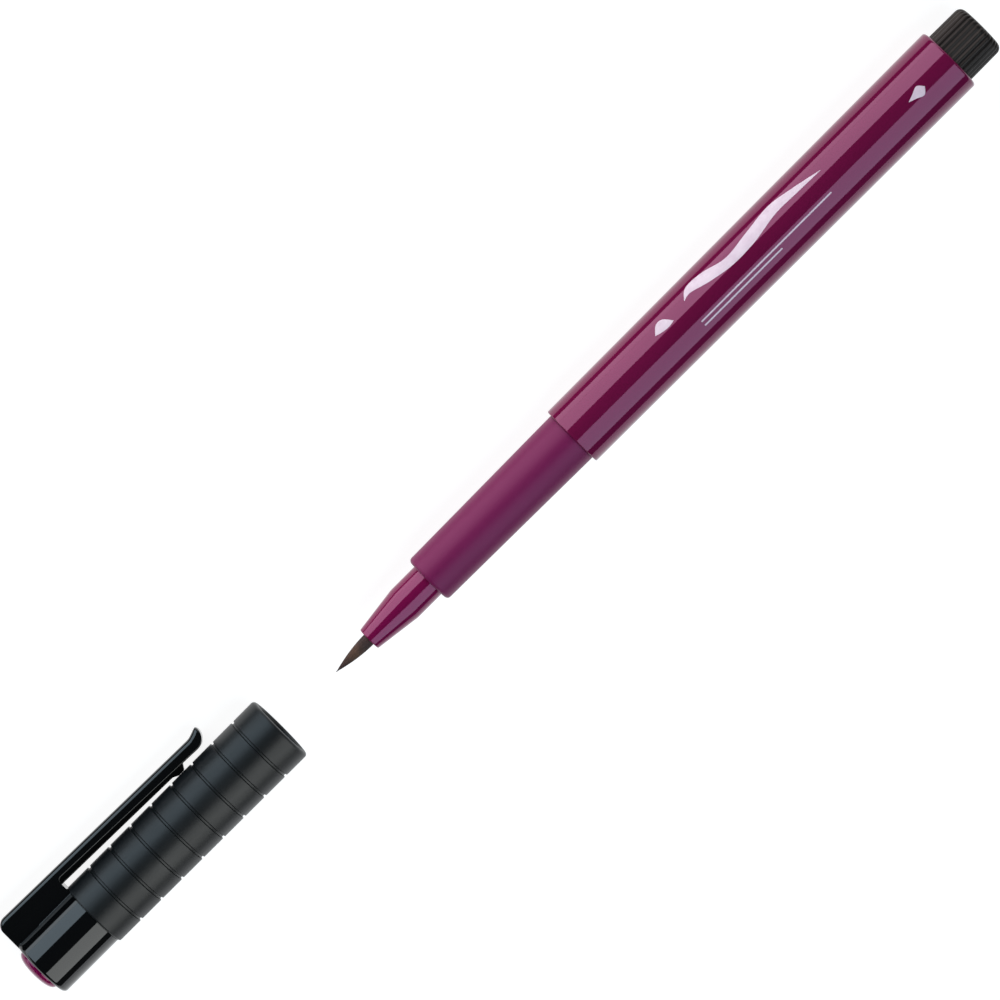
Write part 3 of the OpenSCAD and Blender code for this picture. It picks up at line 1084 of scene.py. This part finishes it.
@dataclass
class FrontEnd:
    """The grip, the moulding that carries it and the nose.

    Attributes:
        axis: The pen's axis.
        grip_taper: How much slimmer the grip is at the nose, in millimetres.
        grip_edge: Rounding of the grip's front edge.
        core_wall: Wall of the core over the reservoir.
        grip_rear_t: Thickness of the grip at its rear.
        spigot_step: Step from the core out to the spigot.
        collar_r: Radius of the nose's straight collar.
        collar_length: Length of that collar.
        collar_blend: Rounding where the collar turns into the cone.
        mouth_r: Outer radius of the nose's mouth.
        mouth_edge: Rounding of the mouth's outer edge.
        bore_r: Radius of the hole that holds the nib.
        flare: Chamfer of that hole at the mouth.
        shoulder: Depth of the reservoir's stop behind the grip's front.
        grip_rear_edge: Rounding of the grip's rear edge.
        spigot_edge: Rounding of the spigot's end.
        fine_edge: Rounding of the nose's other sharp edges.
    """

    axis: PenAxis
    grip_taper: float = 0.32
    grip_edge: float = 0.65
    core_wall: float = 0.55
    grip_rear_t: float = 0.87
    spigot_step: float = 0.60
    collar_r: float = 3.10
    collar_length: float = 5.35
    collar_blend: float = 6.0
    mouth_r: float = 2.05
    mouth_edge: float = 0.25
    bore_r: float = 1.13
    flare: float = 0.3
    shoulder: float = 3.0
    grip_rear_edge: float = 0.12
    spigot_edge: float = 0.3
    fine_edge: float = 0.08

    def __post_init__(self) -> None:
        """Takes the places from the CAD nodes."""
        low, high = box_mm("grip_sleeve")
        self.grip_rear, self.grip_front = low.x, high.x
        self.grip_r = (high.z - low.z) / 2
        self.core_r = self.grip_r - self.grip_rear_t
        core_low, core_high = box_mm("front_section")
        self.spigot_end, self.mouth = core_low.x, core_high.x

    def build(self) -> None:
        """Builds the grip sleeve and the front moulding."""
        grip = rounded(
            [
                Corner(self.grip_rear, self.core_r),
                Corner(self.grip_rear, self.grip_r, self.grip_rear_edge),
                Corner(self.grip_front, self.grip_r - self.grip_taper, self.grip_edge),
                Corner(self.grip_front, self.core_r),
            ]
        )
        sleeve = turn("grip_skin", self.axis, grip, segments=160)
        dress(sleeve, Body.PEN, SPARKED_MAGENTA.material(), ["grip_sleeve"])

        spigot_r = self.core_r + self.spigot_step
        reservoir_r = self.core_r - self.core_wall
        stop = self.grip_front - self.shoulder
        nose = rounded(
            [
                Corner(self.spigot_end, reservoir_r),
                Corner(self.spigot_end, spigot_r, self.spigot_edge),
                Corner(self.grip_rear, spigot_r),
                Corner(self.grip_rear, self.core_r),
                Corner(self.grip_front, self.core_r),
                Corner(self.grip_front, self.collar_r, self.fine_edge),
                Corner(self.grip_front + self.collar_length, self.collar_r, self.collar_blend),
                Corner(self.mouth, self.mouth_r, self.mouth_edge),
                Corner(self.mouth, self.bore_r + self.flare, self.fine_edge),
                Corner(self.mouth - self.flare, self.bore_r),
                Corner(stop, self.bore_r),
                Corner(stop, reservoir_r),
            ]
        )
        front = turn("nose_and_core", self.axis, nose, segments=160)
        dress(front, Body.PEN, POLISHED_NOSE.material(), ["front_section"])


@dataclass
class BrushNib:
    """The nib: a straight stem inside the pen and the pointed tip that bends.

    Attributes:
        axis: The pen's axis.
        fullness: How full the tip's curved sides are.
        point_r: Rounding of the very tip, in millimetres.
        fibres: Fine ridges round the nib.
        ridge: Height of a ridge, in millimetres.
        bend_length: Length over which the tip would bend, in millimetres; the point worked out from it is not
            used.
        straight: Length of straight stem that shows behind the mouth, in millimetres.
        crowding: How much closer the rings lie towards the mouth.
        steps: Spans from the mouth to the point.
    """

    axis: PenAxis
    fullness: float = 1.9
    point_r: float = 0.07
    fibres: int = 26
    ridge: float = 0.018
    bend_length: float = 5.5
    straight: float = 2.0
    crowding: float = 1.4
    steps: int = 36

    def build(self) -> None:
        """Builds the nib as one smooth mesh."""
        stem_low, stem_high = box_mm("brush_stem")
        tip_high = box_mm("brush_tip")[1]
        mouth = box_mm("front_section")[1].x
        radius = (stem_high.z - stem_low.z) / 2
        length = tip_high.x - mouth
        outline = [(stem_low.x, 0.0), (stem_low.x, radius), (mouth - self.straight, radius)]
        for k in range(self.steps):
            s = 1 - (1 - k / self.steps) ** self.crowding
            outline.append((mouth + length * s, max(radius * (1 - s ** self.fullness), self.point_r)))
        outline.append((tip_high.x - self.point_r * 0.4, self.point_r * 0.75))
        outline.append((tip_high.x, 0.0))
        nib = turn("brush_nib", self.axis, outline, segments=156, shift=self._ridges(mouth, length))
        fibre = FibreBundle(
            # Nylon fibres bonded into a point: dull and finely streaked, with a painted highlight along the
            # middle that leaves the point darkest.
            "nylon_bonded_ink_stained", dark="#2C1D1A", light="#452D29", painted_highlight="#5E412B",
            fibre_mm=0.11, depth_mm=0.012, roughness=0.55, painted_highlight_at=(mouth + 0.8, mouth + length * 0.85),
        )
        nib.data.materials.append(fibre.material())
        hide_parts("brush_stem", "brush_tip")
        light(nib, Body.NIB)
        self.axis.point(mouth - 0.3, 0, 0)
        self.axis.point(mouth + self.bend_length, 0, 0)
        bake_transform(nib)
        LOG.info("brush_nib: %d faces, bends between pen and nib", len(nib.data.polygons))

    def _ridges(self, mouth: float, length: float) -> Callable[[float, float, float], float]:
        """The fibres' fine ridges, which fade out towards the point and the mouth.

        Args:
            mouth: Place of the nose's mouth along the axis.
            length: Length of the tip ahead of it.

        Returns:
            The change of radius from a place, its radius and its angle.
        """

        def shift(x: float, r: float, angle: float) -> float:
            """Change of radius at a place on the nib.

            Args:
                x: Place along the axis.
                r: Distance from the axis.
                angle: Turn round the axis.

            Returns:
                The change, in millimetres.
            """
            ahead = (x - mouth) / length
            fade = max(0.0, min(1.0, (ahead + 0.05) * 6)) * max(0.0, min(1.0, (1 - ahead) * 2.5))
            wave = math.cos(self.fibres * angle) + 0.6 * math.cos(self.fibres * 0.5 * angle + 1.3)
            return self.ridge * fade * wave - self.ridge * fade

        return shift


@dataclass
class RearPlug:
    """The fluted plug that closes the barrel.

    Attributes:
        axis: The pen's axis.
        flutes: Number of flutes.
        depth: Depth of a flute, in millimetres.
        sharpness: How narrow a flute is against its rib.
        end_rounding: Rounding of the end.
        taper: How much slimmer the plug is at its end.
        spigot_inset: Step from the fluted part down to the spigot.
        hollow_r: Radius of the plug's hollow.
        end_t: Thickness of the end wall.
        run_out: Height over which the flutes fade on the rounded end.
        spigot_edge: Rounding of the spigot's end.
        floor_edge: Rounding at the bottom of the hollow.
        flute_spans: Spans round one flute.
    """

    axis: PenAxis
    flutes: int = 32
    depth: float = 0.24
    sharpness: float = 1.8
    end_rounding: float = 1.2
    taper: float = 0.06
    spigot_inset: float = 0.37
    hollow_r: float = 3.30
    end_t: float = 1.4
    run_out: float = 0.6
    spigot_edge: float = 0.3
    floor_edge: float = 0.4
    flute_spans: int = 10

    def build(self) -> None:
        """Builds the plug with its flutes as real shape."""
        low, high = box_mm("rear_plug")
        shoulder = box_mm("barrel")[0].x
        outer = (high.z - low.z) / 2
        spigot = outer - self.spigot_inset
        rear_r = outer - self.taper
        hollow_end = low.x + self.end_t
        outline = rounded(
            [
                Corner(low.x, 0.0),
                Corner(low.x, rear_r, self.end_rounding),
                Corner(shoulder, outer),
                Corner(shoulder, spigot),
                Corner(high.x, spigot, self.spigot_edge),
                Corner(high.x, self.hollow_r),
                Corner(hollow_end, self.hollow_r, self.floor_edge),
                Corner(hollow_end, 0.0),
            ],
            steps=9,
        )
        flute = self._flute(low.x, shoulder, spigot)
        plug = turn("fluted_plug", self.axis, outline, segments=self.flutes * self.flute_spans, shift=flute)
        dress(plug, Body.PEN, SATIN_BLACK.material(), ["rear_plug"])

    def _flute(self, end: float, shoulder: float, spigot: float) -> Callable[[float, float, float], float]:
        """The flutes' depth round the plug, which runs out over the rounded end.

        Args:
            end: Place of the plug's end along the axis.
            shoulder: Place where the plug meets the barrel.
            spigot: Radius of the spigot.

        Returns:
            The change of radius from a place, its radius and its angle.
        """

        def shift(x: float, r: float, angle: float) -> float:
            """Change of radius at a place on the plug.

            Args:
                x: Place along the axis.
                r: Distance from the axis.
                angle: Turn round the axis.

            Returns:
                The change, in millimetres.
            """
            inner = spigot - self.run_out
            if x > shoulder + SAME_MM or r <= inner:
                return 0.0
            rounded_end = x < end + self.end_rounding
            run = max(0.0, min(1.0, (r - inner) / self.run_out)) if rounded_end else 1.0
            if r <= spigot + SAME_MM and x > shoulder - SAME_MM:
                return 0.0
            groove = (0.5 + 0.5 * math.cos(self.flutes * angle)) ** self.sharpness
            return -self.depth * run * groove

        return shift


@dataclass
class CapShell:
    """The ribbed sleeve, the glossy head, the coloured disc and the sealing cup.

    Attributes:
        axis: The pen's axis.
        sleeve_taper: How much slimmer the sleeve is at the head, in millimetres.
        bore_wall: Wall of the sleeve at its mouth.
        mouth_edge: Rounding of the mouth's outer edge.
        mouth_flare: Chamfer of the mouth's bore.
        sleeve_edge: Rounding of the sleeve's end at the head.
        grooves: Number of grooves.
        pitch: Distance between grooves.
        groove_w: Width of a groove's flat bottom.
        groove_wall: Width of each sloping side of a groove.
        groove_depth: Depth of a groove.
        shoulder_r: Rounding of a groove's shoulders.
        groove_bottom_r: Rounding at the bottom of a groove.
        head_edge: Rounding of the head's end.
        seam: Width of the fine seam between sleeve and head.
        disc_fullness: How full the disc's domed outline is, 2 for an ellipse.
        disc_steps: Spans from the disc's rim to its middle.
        disc_ledge: Width of the ledge that the disc rests on.
        cup_wall: Wall of the sealing cup.
        cup_bore_r: Radius of the cup's bore.
        flange_t: Thickness of the cup's flange.
        cup_end_t: Thickness of the cup's end wall.
        head_bore_clear: Clearance between the cup and the head.
    """

    axis: PenAxis
    sleeve_taper: float = 0.12
    bore_wall: float = 1.20
    mouth_edge: float = 0.6
    mouth_flare: float = 0.3
    sleeve_edge: float = 0.3
    grooves: int = 8
    pitch: float = 4.66
    groove_w: float = 0.32
    groove_wall: float = 0.12
    groove_depth: float = 0.31
    shoulder_r: float = 0.06
    groove_bottom_r: float = 0.03
    head_edge: float = 0.7
    seam: float = 0.06
    disc_fullness: float = 2.6
    disc_steps: int = 26
    disc_ledge: float = 0.42
    cup_wall: float = 0.8
    cup_bore_r: float = 3.15
    flange_t: float = 0.8
    cup_end_t: float = 0.5
    head_bore_clear: float = 0.05

    def __post_init__(self) -> None:
        """Takes the places from the CAD nodes."""
        low, high = box_mm("cap_sleeve")
        self.mouth, self.sleeve_end = low.x, high.x
        self.mouth_r = (high.z - low.z) / 2
        self.bore_r = self.mouth_r - self.bore_wall
        head_low, head_high = box_mm("cap_head")
        self.spigot_end, self.head_end = head_low.x, head_high.x
        self.head_r = (head_high.z - head_low.z) / 2
        cup_low, cup_high = box_mm("inner_cup")
        self.cup_mouth, self.cup_end = cup_low.x, cup_high.x
        self.flange_r = (cup_high.z - cup_low.z) / 2
        disc_low, disc_high = box_mm("colour_disc")
        self.disc_seat_x, self.disc_top = disc_low.x, disc_high.x
        self.disc_r = (disc_high.z - disc_low.z) / 2

    def sleeve_r(self, x: float) -> float:
        """The sleeve's outer radius at a place along it, in millimetres."""
        return self.mouth_r - self.sleeve_taper * (x - self.mouth) / (self.sleeve_end - self.mouth)

    def build(self) -> None:
        """Builds the four pieces."""
        self._sleeve()
        self._head()
        self._disc()
        self._cup()

    def _groove(self, x: float) -> list[Corner]:
        """The corners of one groove: a rounded shoulder, a flat bottom and a shoulder.

        Args:
            x: Middle of the groove along the axis.

        Returns:
            The four corners.
        """
        r, deep, half = self.sleeve_r(x), self.groove_depth, self.groove_w / 2
        wall = self.groove_wall
        return [
            Corner(x - half - wall, r, self.shoulder_r),
            Corner(x - half, r - deep, self.groove_bottom_r),
            Corner(x + half, r - deep, self.groove_bottom_r),
            Corner(x + half + wall, r, self.shoulder_r),
        ]

    def _sleeve(self) -> None:
        """Builds the ribbed sleeve."""
        first = (self.mouth + self.sleeve_end - (self.grooves - 1) * self.pitch) / 2
        ribs = [c for i in range(self.grooves) for c in self._groove(first + i * self.pitch)]
        corners = [
            Corner(self.mouth + self.mouth_flare, self.bore_r, 0.1),
            Corner(self.mouth, self.bore_r + self.mouth_flare, 0.08),
            Corner(self.mouth, self.mouth_r, self.mouth_edge),
            *ribs,
            Corner(self.sleeve_end, self.sleeve_r(self.sleeve_end), self.sleeve_edge),
            Corner(self.sleeve_end, self.bore_r),
        ]
        sleeve = turn("ribbed_sleeve", self.axis, rounded(corners), segments=176)
        dress(sleeve, Body.CAP, MATTE_BLUE_BLACK.material(), ["cap_sleeve"])

    def _head(self) -> None:
        """Builds the head, with the fine seam where it meets the sleeve."""
        inner = self.cup_outer_r + self.head_bore_clear
        floor = self.disc_seat_x
        hole = self.disc_r - self.disc_ledge
        corners = [
            Corner(self.spigot_end, inner),
            Corner(self.spigot_end, self.bore_r, 0.1),
            Corner(self.sleeve_end, self.bore_r),
            Corner(self.sleeve_end, self.head_r - self.seam * 2),
            Corner(self.sleeve_end + self.seam, self.head_r - self.seam * 2),
            Corner(self.sleeve_end + self.seam, self.head_r, 0.05),
            Corner(self.head_end, self.head_r, self.head_edge),
            Corner(self.head_end, hole, 0.05),
            Corner(floor, hole),
            Corner(floor, inner),
        ]
        head = turn("glossy_head", self.axis, rounded(corners, steps=9), segments=176)
        dress(head, Body.CAP, POLISHED_BLACK.material(), ["cap_head"])

    @property
    def cup_outer_r(self) -> float:
        """Outer radius of the sealing cup's wall, in millimetres."""
        return self.cup_bore_r + self.cup_wall

    def _disc(self) -> None:
        """Builds the domed disc in the closed end."""
        spigot = self.disc_r - self.disc_ledge
        height = self.disc_top - self.head_end
        arc = [math.pi / 2 * k / self.disc_steps for k in range(self.disc_steps)]
        power = 2 / self.disc_fullness
        dome = [
            (self.head_end + height * math.sin(a) ** power, self.disc_r * math.cos(a) ** power) for a in arc
        ]
        base = [(self.disc_seat_x, 0.0), (self.disc_seat_x, spigot), (self.head_end, spigot)]
        disc = turn("domed_disc", self.axis, [*base, *dome, (self.disc_top, 0.0)], segments=144)
        dress(disc, Body.CAP, POLISHED_DISC.material(), ["colour_disc"])

    def _cup(self) -> None:
        """Builds the sealing cup with its flange."""
        inner = self.cup_bore_r
        floor = self.cup_end - self.cup_end_t
        corners = [
            Corner(self.cup_mouth, inner, 0.15),
            Corner(self.cup_mouth, self.flange_r, 0.1),
            Corner(self.cup_mouth + self.flange_t, self.flange_r, 0.1),
            Corner(self.cup_mouth + self.flange_t, self.cup_outer_r),
            Corner(self.cup_end, self.cup_outer_r, 0.2),
            Corner(self.cup_end, 0.0),
            Corner(floor, 0.0),
            Corner(floor, inner),
        ]
        cup = turn("sealing_cup", self.axis, rounded(corners), segments=112)
        dress(cup, Body.LINER, WAXY_BLACK.material(), ["inner_cup"])


@dataclass
class PocketClip:
    """The clip: a block on the head, a springy blade with a rib and a bump, and a turned-out tip.

    Distances along the clip are measured from the head's end towards the mouth, and heights
    from the pen's axis, all in millimetres.

    Attributes:
        axis: The pen's axis.
        shell: The cap that carries the clip.
        root_h: Height of the outer face at the head's end.
        bend_h: Height of the outer face where the tip turns out.
        bend_at: Distance at which the tip turns out.
        root_w: Width at the head's end.
        tip_w: Width at the tip.
        edge_r: Rounding of the outer edges.
        crown: How far the outer face falls towards its edges.
        foot_r: Fillet where the block meets the head.
        end_r: Rounding of the block at the head's end.
        slot_r: Rounding of the slot's end.
        low_edge: Rounding of the blade's lower edges.
        blade_root: Thickness of the blade at the slot.
        blade_bend: Thickness of the blade where the tip turns out.
        rib_w: Width of the rib under the blade.
        rib_root: Height of the rib's lower face at the slot.
        rib_bump: Height of the rib's lower face at the bump.
        bump_at: Distance at which the bump starts.
        bump_end: Distance at which the bump ends.
        foot_len: Length of the bump's flat foot.
        flex_length: Length over which the clip would bend; the point worked out from it is not used.
        sunk: How deep the block's underside lies in the head.
        side_inset: How far the sides draw in at the rounded end, against how far the top does.
        arc_steps: Spans in each rounded edge.
        end_steps: Spans in the block's rounded end.
        blade_steps: Spans along the blade.
        small_edge: Size of the edge break under the rib.
    """

    axis: PenAxis
    shell: CapShell
    root_h: float = 9.96
    bend_h: float = 9.18
    bend_at: float = 42.4
    root_w: float = 5.5
    tip_w: float = 4.7
    edge_r: float = 0.9
    crown: float = 0.06
    foot_r: float = 0.14
    end_r: float = 1.65
    slot_r: float = 0.8
    low_edge: float = 0.22
    blade_root: float = 1.8
    blade_bend: float = 2.25
    rib_w: float = 1.8
    rib_root: float = 7.0
    rib_bump: float = 6.52
    bump_at: float = 36.85
    bump_end: float = 39.45
    foot_len: float = 1.3
    flex_length: float = 9.0
    sunk: float = 0.3
    side_inset: float = 0.25
    arc_steps: int = 8
    end_steps: int = 9
    blade_steps: int = 16
    small_edge: float = 0.15

    def __post_init__(self) -> None:
        """Takes the clip's datum and slot from the CAD nodes."""
        self.datum = self.shell.head_end
        self.slot_at = self.datum - box_mm("clip_root")[0].x

    def top(self, at: float) -> float:
        """Height of the outer face at a distance from the head's end."""
        return self.root_h + (self.bend_h - self.root_h) * at / self.bend_at

    def width(self, at: float) -> float:
        """Width of the clip at a distance from the head's end."""
        return self.root_w + (self.tip_w - self.root_w) * at / (self.bend_at + 2.5)

    def blade(self, at: float) -> float:
        """Thickness of the blade at a distance from the head's end."""
        share = (at - self.slot_at) / (self.bend_at - self.slot_at)
        return self.blade_root + (self.blade_bend - self.blade_root) * share

    def _upper_half(self, half: float, top: float, edge: float) -> list[tuple[float, float]]:
        """The outline from the top's middle, over the rounded edge, to the side.

        Args:
            half: Half the width.
            top: Height of the outer face.
            edge: Rounding of the outer edge.

        Returns:
            Points as (across, height).
        """
        flat = half - edge
        points = [(flat * s, top - self.crown * s * s) for s in (0.0, 0.25, 0.5, 0.75)]
        for k in range(self.arc_steps + 1):
            a = math.pi / 2 * (1 - k / self.arc_steps)
            points.append((flat + edge * math.cos(a), top - self.crown - edge + edge * math.sin(a)))
        return points

    def _block_half(self, half: float, top: float, edge: float, surface: float) -> list[tuple[float, float]]:
        """Half an outline of the block, flowing into the head's round surface.

        Args:
            half: Half the width.
            top: Height of the outer face.
            edge: Rounding of the outer edge.
            surface: Radius of the head there.

        Returns:
            Points as (across, height).
        """
        fillet = self.foot_r
        height = math.sqrt((surface + fillet) ** 2 - (half + fillet) ** 2)
        points = self._upper_half(half, top, edge)
        side_top = points[-1][1]
        points.append((half, side_top + (height - side_top) * 0.5))
        last = math.atan2(-height, -(half + fillet)) + math.tau
        for k in range(self.arc_steps + 1):
            a = math.pi + (last - math.pi) * k / self.arc_steps
            points.append((half + fillet + fillet * math.cos(a), height + fillet * math.sin(a)))
        sunk = surface - self.sunk
        reach = (half + fillet) / (surface + fillet)
        points.append((reach * sunk, math.sqrt(1 - reach * reach) * sunk))
        points.append((0.0, sunk))
        return points

    def _blade_half(self, half: float, top: float, edge: float, low: float) -> list[tuple[float, float]]:
        """Half an outline of the blade, with a small rounding below.

        Args:
            half: Half the width.
            top: Height of the outer face.
            edge: Rounding of the outer edge.
            low: Height of the blade's lower face.

        Returns:
            Points as (across, height).
        """
        points = self._upper_half(half, top, edge)
        side_top = points[-1][1]
        small = min(self.low_edge, max(0.02, side_top - low))
        points.append((half, side_top + (low + small - side_top) * 0.5))
        for k in range(self.arc_steps + 1):
            a = -math.pi / 2 * k / self.arc_steps
            points.append((half - small + small * math.cos(a), low + small + small * math.sin(a)))
        points.append(((half - small) * 0.5, low))
        points.append((0.0, low))
        return points

    def _ring(
        self,
        at: float,
        half_outline: list[tuple[float, float]],
        lean: Optional[Callable[[float], float]] = None,
    ) -> list[Vector]:
        """Makes a whole ring from half an outline.

        Args:
            at: Distance from the head's end.
            half_outline: Points as (across, height).
            lean: Optional distance from the head's end as a function of height.

        Returns:
            The ring's points, in metres.
        """
        whole = half_outline + [(-y, h) for y, h in reversed(half_outline[1:-1])]
        return [self.axis.beside(self.datum - (lean(h) if lean else at), y, h) for y, h in whole]

    def _root_rings(self) -> list[list[Vector]]:
        """The rings of the fixed block, from its rounded end to the slot.

        Returns:
            The rings' points, in metres.
        """
        rings = []
        for k in range(self.end_steps + 1):
            turn_by = math.pi / 2 * k / self.end_steps
            inset = self.end_r * (1 - math.sin(turn_by))
            at = self.end_r * (1 - math.cos(turn_by))
            surface = self.shell.head_r - self.shell.head_edge * (
                1 - math.sqrt(max(0.0, 1 - (1 - at / self.shell.head_edge) ** 2))
            )
            side = self.width(at) / 2 - inset * self.side_inset
            edge = max(self.edge_r - inset * 0.5, 0.3)
            rings.append(self._ring(at, self._block_half(side, self.top(at) - inset, edge, surface)))
        for share in (0.33, 0.66, 1.0):
            at = self.end_r + (self.slot_at - self.end_r) * share
            side = self.width(at) / 2
            outline = self._block_half(side, self.top(at), self.edge_r, self.shell.head_r)
            rings.append(self._ring(at, outline))
        return rings

    def _blade_rings(self) -> list[list[Vector]]:
        """The rings of the blade, from the slot's rounded end to the turn-out.

        Returns:
            The rings' points, in metres.
        """
        rings = []
        for k in range(self.arc_steps + 1):
            turn_by = math.pi / 2 * k / self.arc_steps
            at = self.slot_at + self.slot_r * (1 - math.cos(turn_by))
            low = self.top(at) - self.blade_root - self.slot_r * (1 - math.sin(turn_by))
            rings.append(self._ring(at, self._blade_half(self.width(at) / 2, self.top(at), self.edge_r, low)))
        start = self.slot_at + self.slot_r
        for k in range(1, self.blade_steps + 1):
            at = start + (self.bend_at - start) * k / self.blade_steps
            low = self.top(at) - self.blade(at)
            rings.append(self._ring(at, self._blade_half(self.width(at) / 2, self.top(at), self.edge_r, low)))
        return rings

    def _tip_rings(self) -> list[list[Vector]]:
        """The rings of the turned-out tip, each leaning from its top point to its bottom point.

        Returns:
            The rings' points, in metres.
        """
        # Distances and heights of the top and of the bottom, and the share of the width.
        stations = [
            (self.bend_at, self.bend_h, self.bend_at, self.bend_h - self.blade_bend, 1.0),
            (42.95, 9.23, 43.1, 6.94, 1.0),
            (43.5, 9.39, 43.85, 7.15, 0.99),
            (44.0, 9.57, 44.5, 7.72, 0.96),
            (44.4, 9.71, 44.93, 8.42, 0.9),
            (44.7, 9.79, 45.07, 9.0, 0.78),
            (44.87, 9.81, 45.09, 9.36, 0.6),
        ]
        rings = []
        for top_at, top_h, low_at, low_h, share in curve_through(stations, 4)[1:]:
            half = self.tip_w / 2 * share
            depth = top_h - low_h
            edge = min(self.edge_r, depth * 0.48, half * 0.8)

            def lean(
                h: float, a: float = top_at, b: float = low_at, t: float = top_h, d: float = depth
            ) -> float:
                """Distance from the head's end at a height of this ring."""
                return a + (b - a) * (t - h) / d

            outline = self._blade_half(half, top_h, edge, low_h)
            rings.append(self._ring(top_at, outline, lean))
        return rings

    def _rib_rings(self) -> list[list[Vector]]:
        """The rings of the rib under the blade and of its bump.

        Returns:
            The rings' points, in metres.
        """
        foot_h = self.shell.sleeve_r(self.datum - self.bump_at) + 0.02
        middle = (self.bump_at + self.bump_end) / 2
        half_foot = self.foot_len / 2
        line = [
            (self.slot_at - 0.6, self.rib_root),
            (self.bump_at - 0.25, self.rib_bump + 0.01), (self.bump_at, self.rib_bump - 0.06),
            (middle - half_foot - 0.12, foot_h + 0.1), (middle - half_foot + 0.12, foot_h),
            (middle + half_foot - 0.12, foot_h), (middle + half_foot + 0.1, foot_h + 0.12),
            (self.bump_end - 0.1, self.top(self.bump_end) - self.blade(self.bump_end) - 0.15),
            (self.bump_end + 0.1, self.top(self.bump_end) - self.blade(self.bump_end) + 0.1),
        ]
        rings = []
        half = self.rib_w / 2
        for at, low in line:
            high = self.top(at) - self.blade(max(at, self.slot_at)) + 0.3
            small = self.small_edge
            outline = [(0.0, high), (half, high), (half, low + small)]
            outline += [
                (half - small + small * math.cos(a), low + small + small * math.sin(a))
                for a in (-0.5, -1.0)
            ]
            outline += [(half - small, low), (0.0, low)]
            rings.append(self._ring(at, outline))
        return rings

    def build(self) -> None:
        """Builds the clip as one smooth mesh."""
        shape = bmesh.new()
        skin(shape, self._root_rings() + self._blade_rings() + self._tip_rings())
        skin(shape, self._rib_rings())
        clip = finish_mesh("pocket_clip", shape)
        clip.data.materials.append(POLISHED_BLACK.material())
        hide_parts("clip_root", "clip_arm")
        light(clip, Body.CLIP)
        self.axis.point(self.datum - self.slot_at, 0, 0)
        self.axis.point(self.datum - self.slot_at - self.flex_length, 0, 0)
        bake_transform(clip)
        LOG.info("pocket_clip: %d faces, bends between cap and clip", len(clip.data.polygons))


@dataclass
class InkStore:
    """The fibre rod and its film, which stay inside the pen."""

    def build(self) -> None:
        """Dresses the two CAD nodes."""
        fibre = FibreBundle(
            # Polyester fibres soaked in magenta ink: matte, with fine lengthwise streaks.
            "polyester_fibre_ink_soaked", dark="#5A0B36", light="#A23C72", painted_highlight="#A23C72",
            fibre_mm=0.2, depth_mm=0.02, roughness=0.8,
        )
        self._dress("ink_fibre", fibre.material())
        self._dress("reservoir_film", ROLLED_FILM.material())

    def _dress(self, node: str, material: bpy.types.Material) -> None:
        """Gives a CAD node its material.

        Args:
            node: Name of the node.
            material: The material.
        """
        piece = frame["nodes"][node]
        piece.data.materials.clear()
        piece.data.materials.append(material)
        light(piece, Body.PEN)
        LOG.info("%s: CAD node dressed", node)


def main() -> None:
    """Builds the whole pen in order."""
    logging.basicConfig(level=logging.INFO, format="%(name)s %(message)s")
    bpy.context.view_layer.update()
    bpy.context.scene.view_settings.view_transform = "Standard"
    axis = PenAxis.from_frame()
    Studio().build(axis)
    Barrel(axis).build()
    FrontEnd(axis).build()
    BrushNib(axis).build()
    RearPlug(axis).build()
    shell = CapShell(axis)
    shell.build()
    PocketClip(axis, shell).build()
    InkStore().build()


if __name__ == "__main__":
    main()
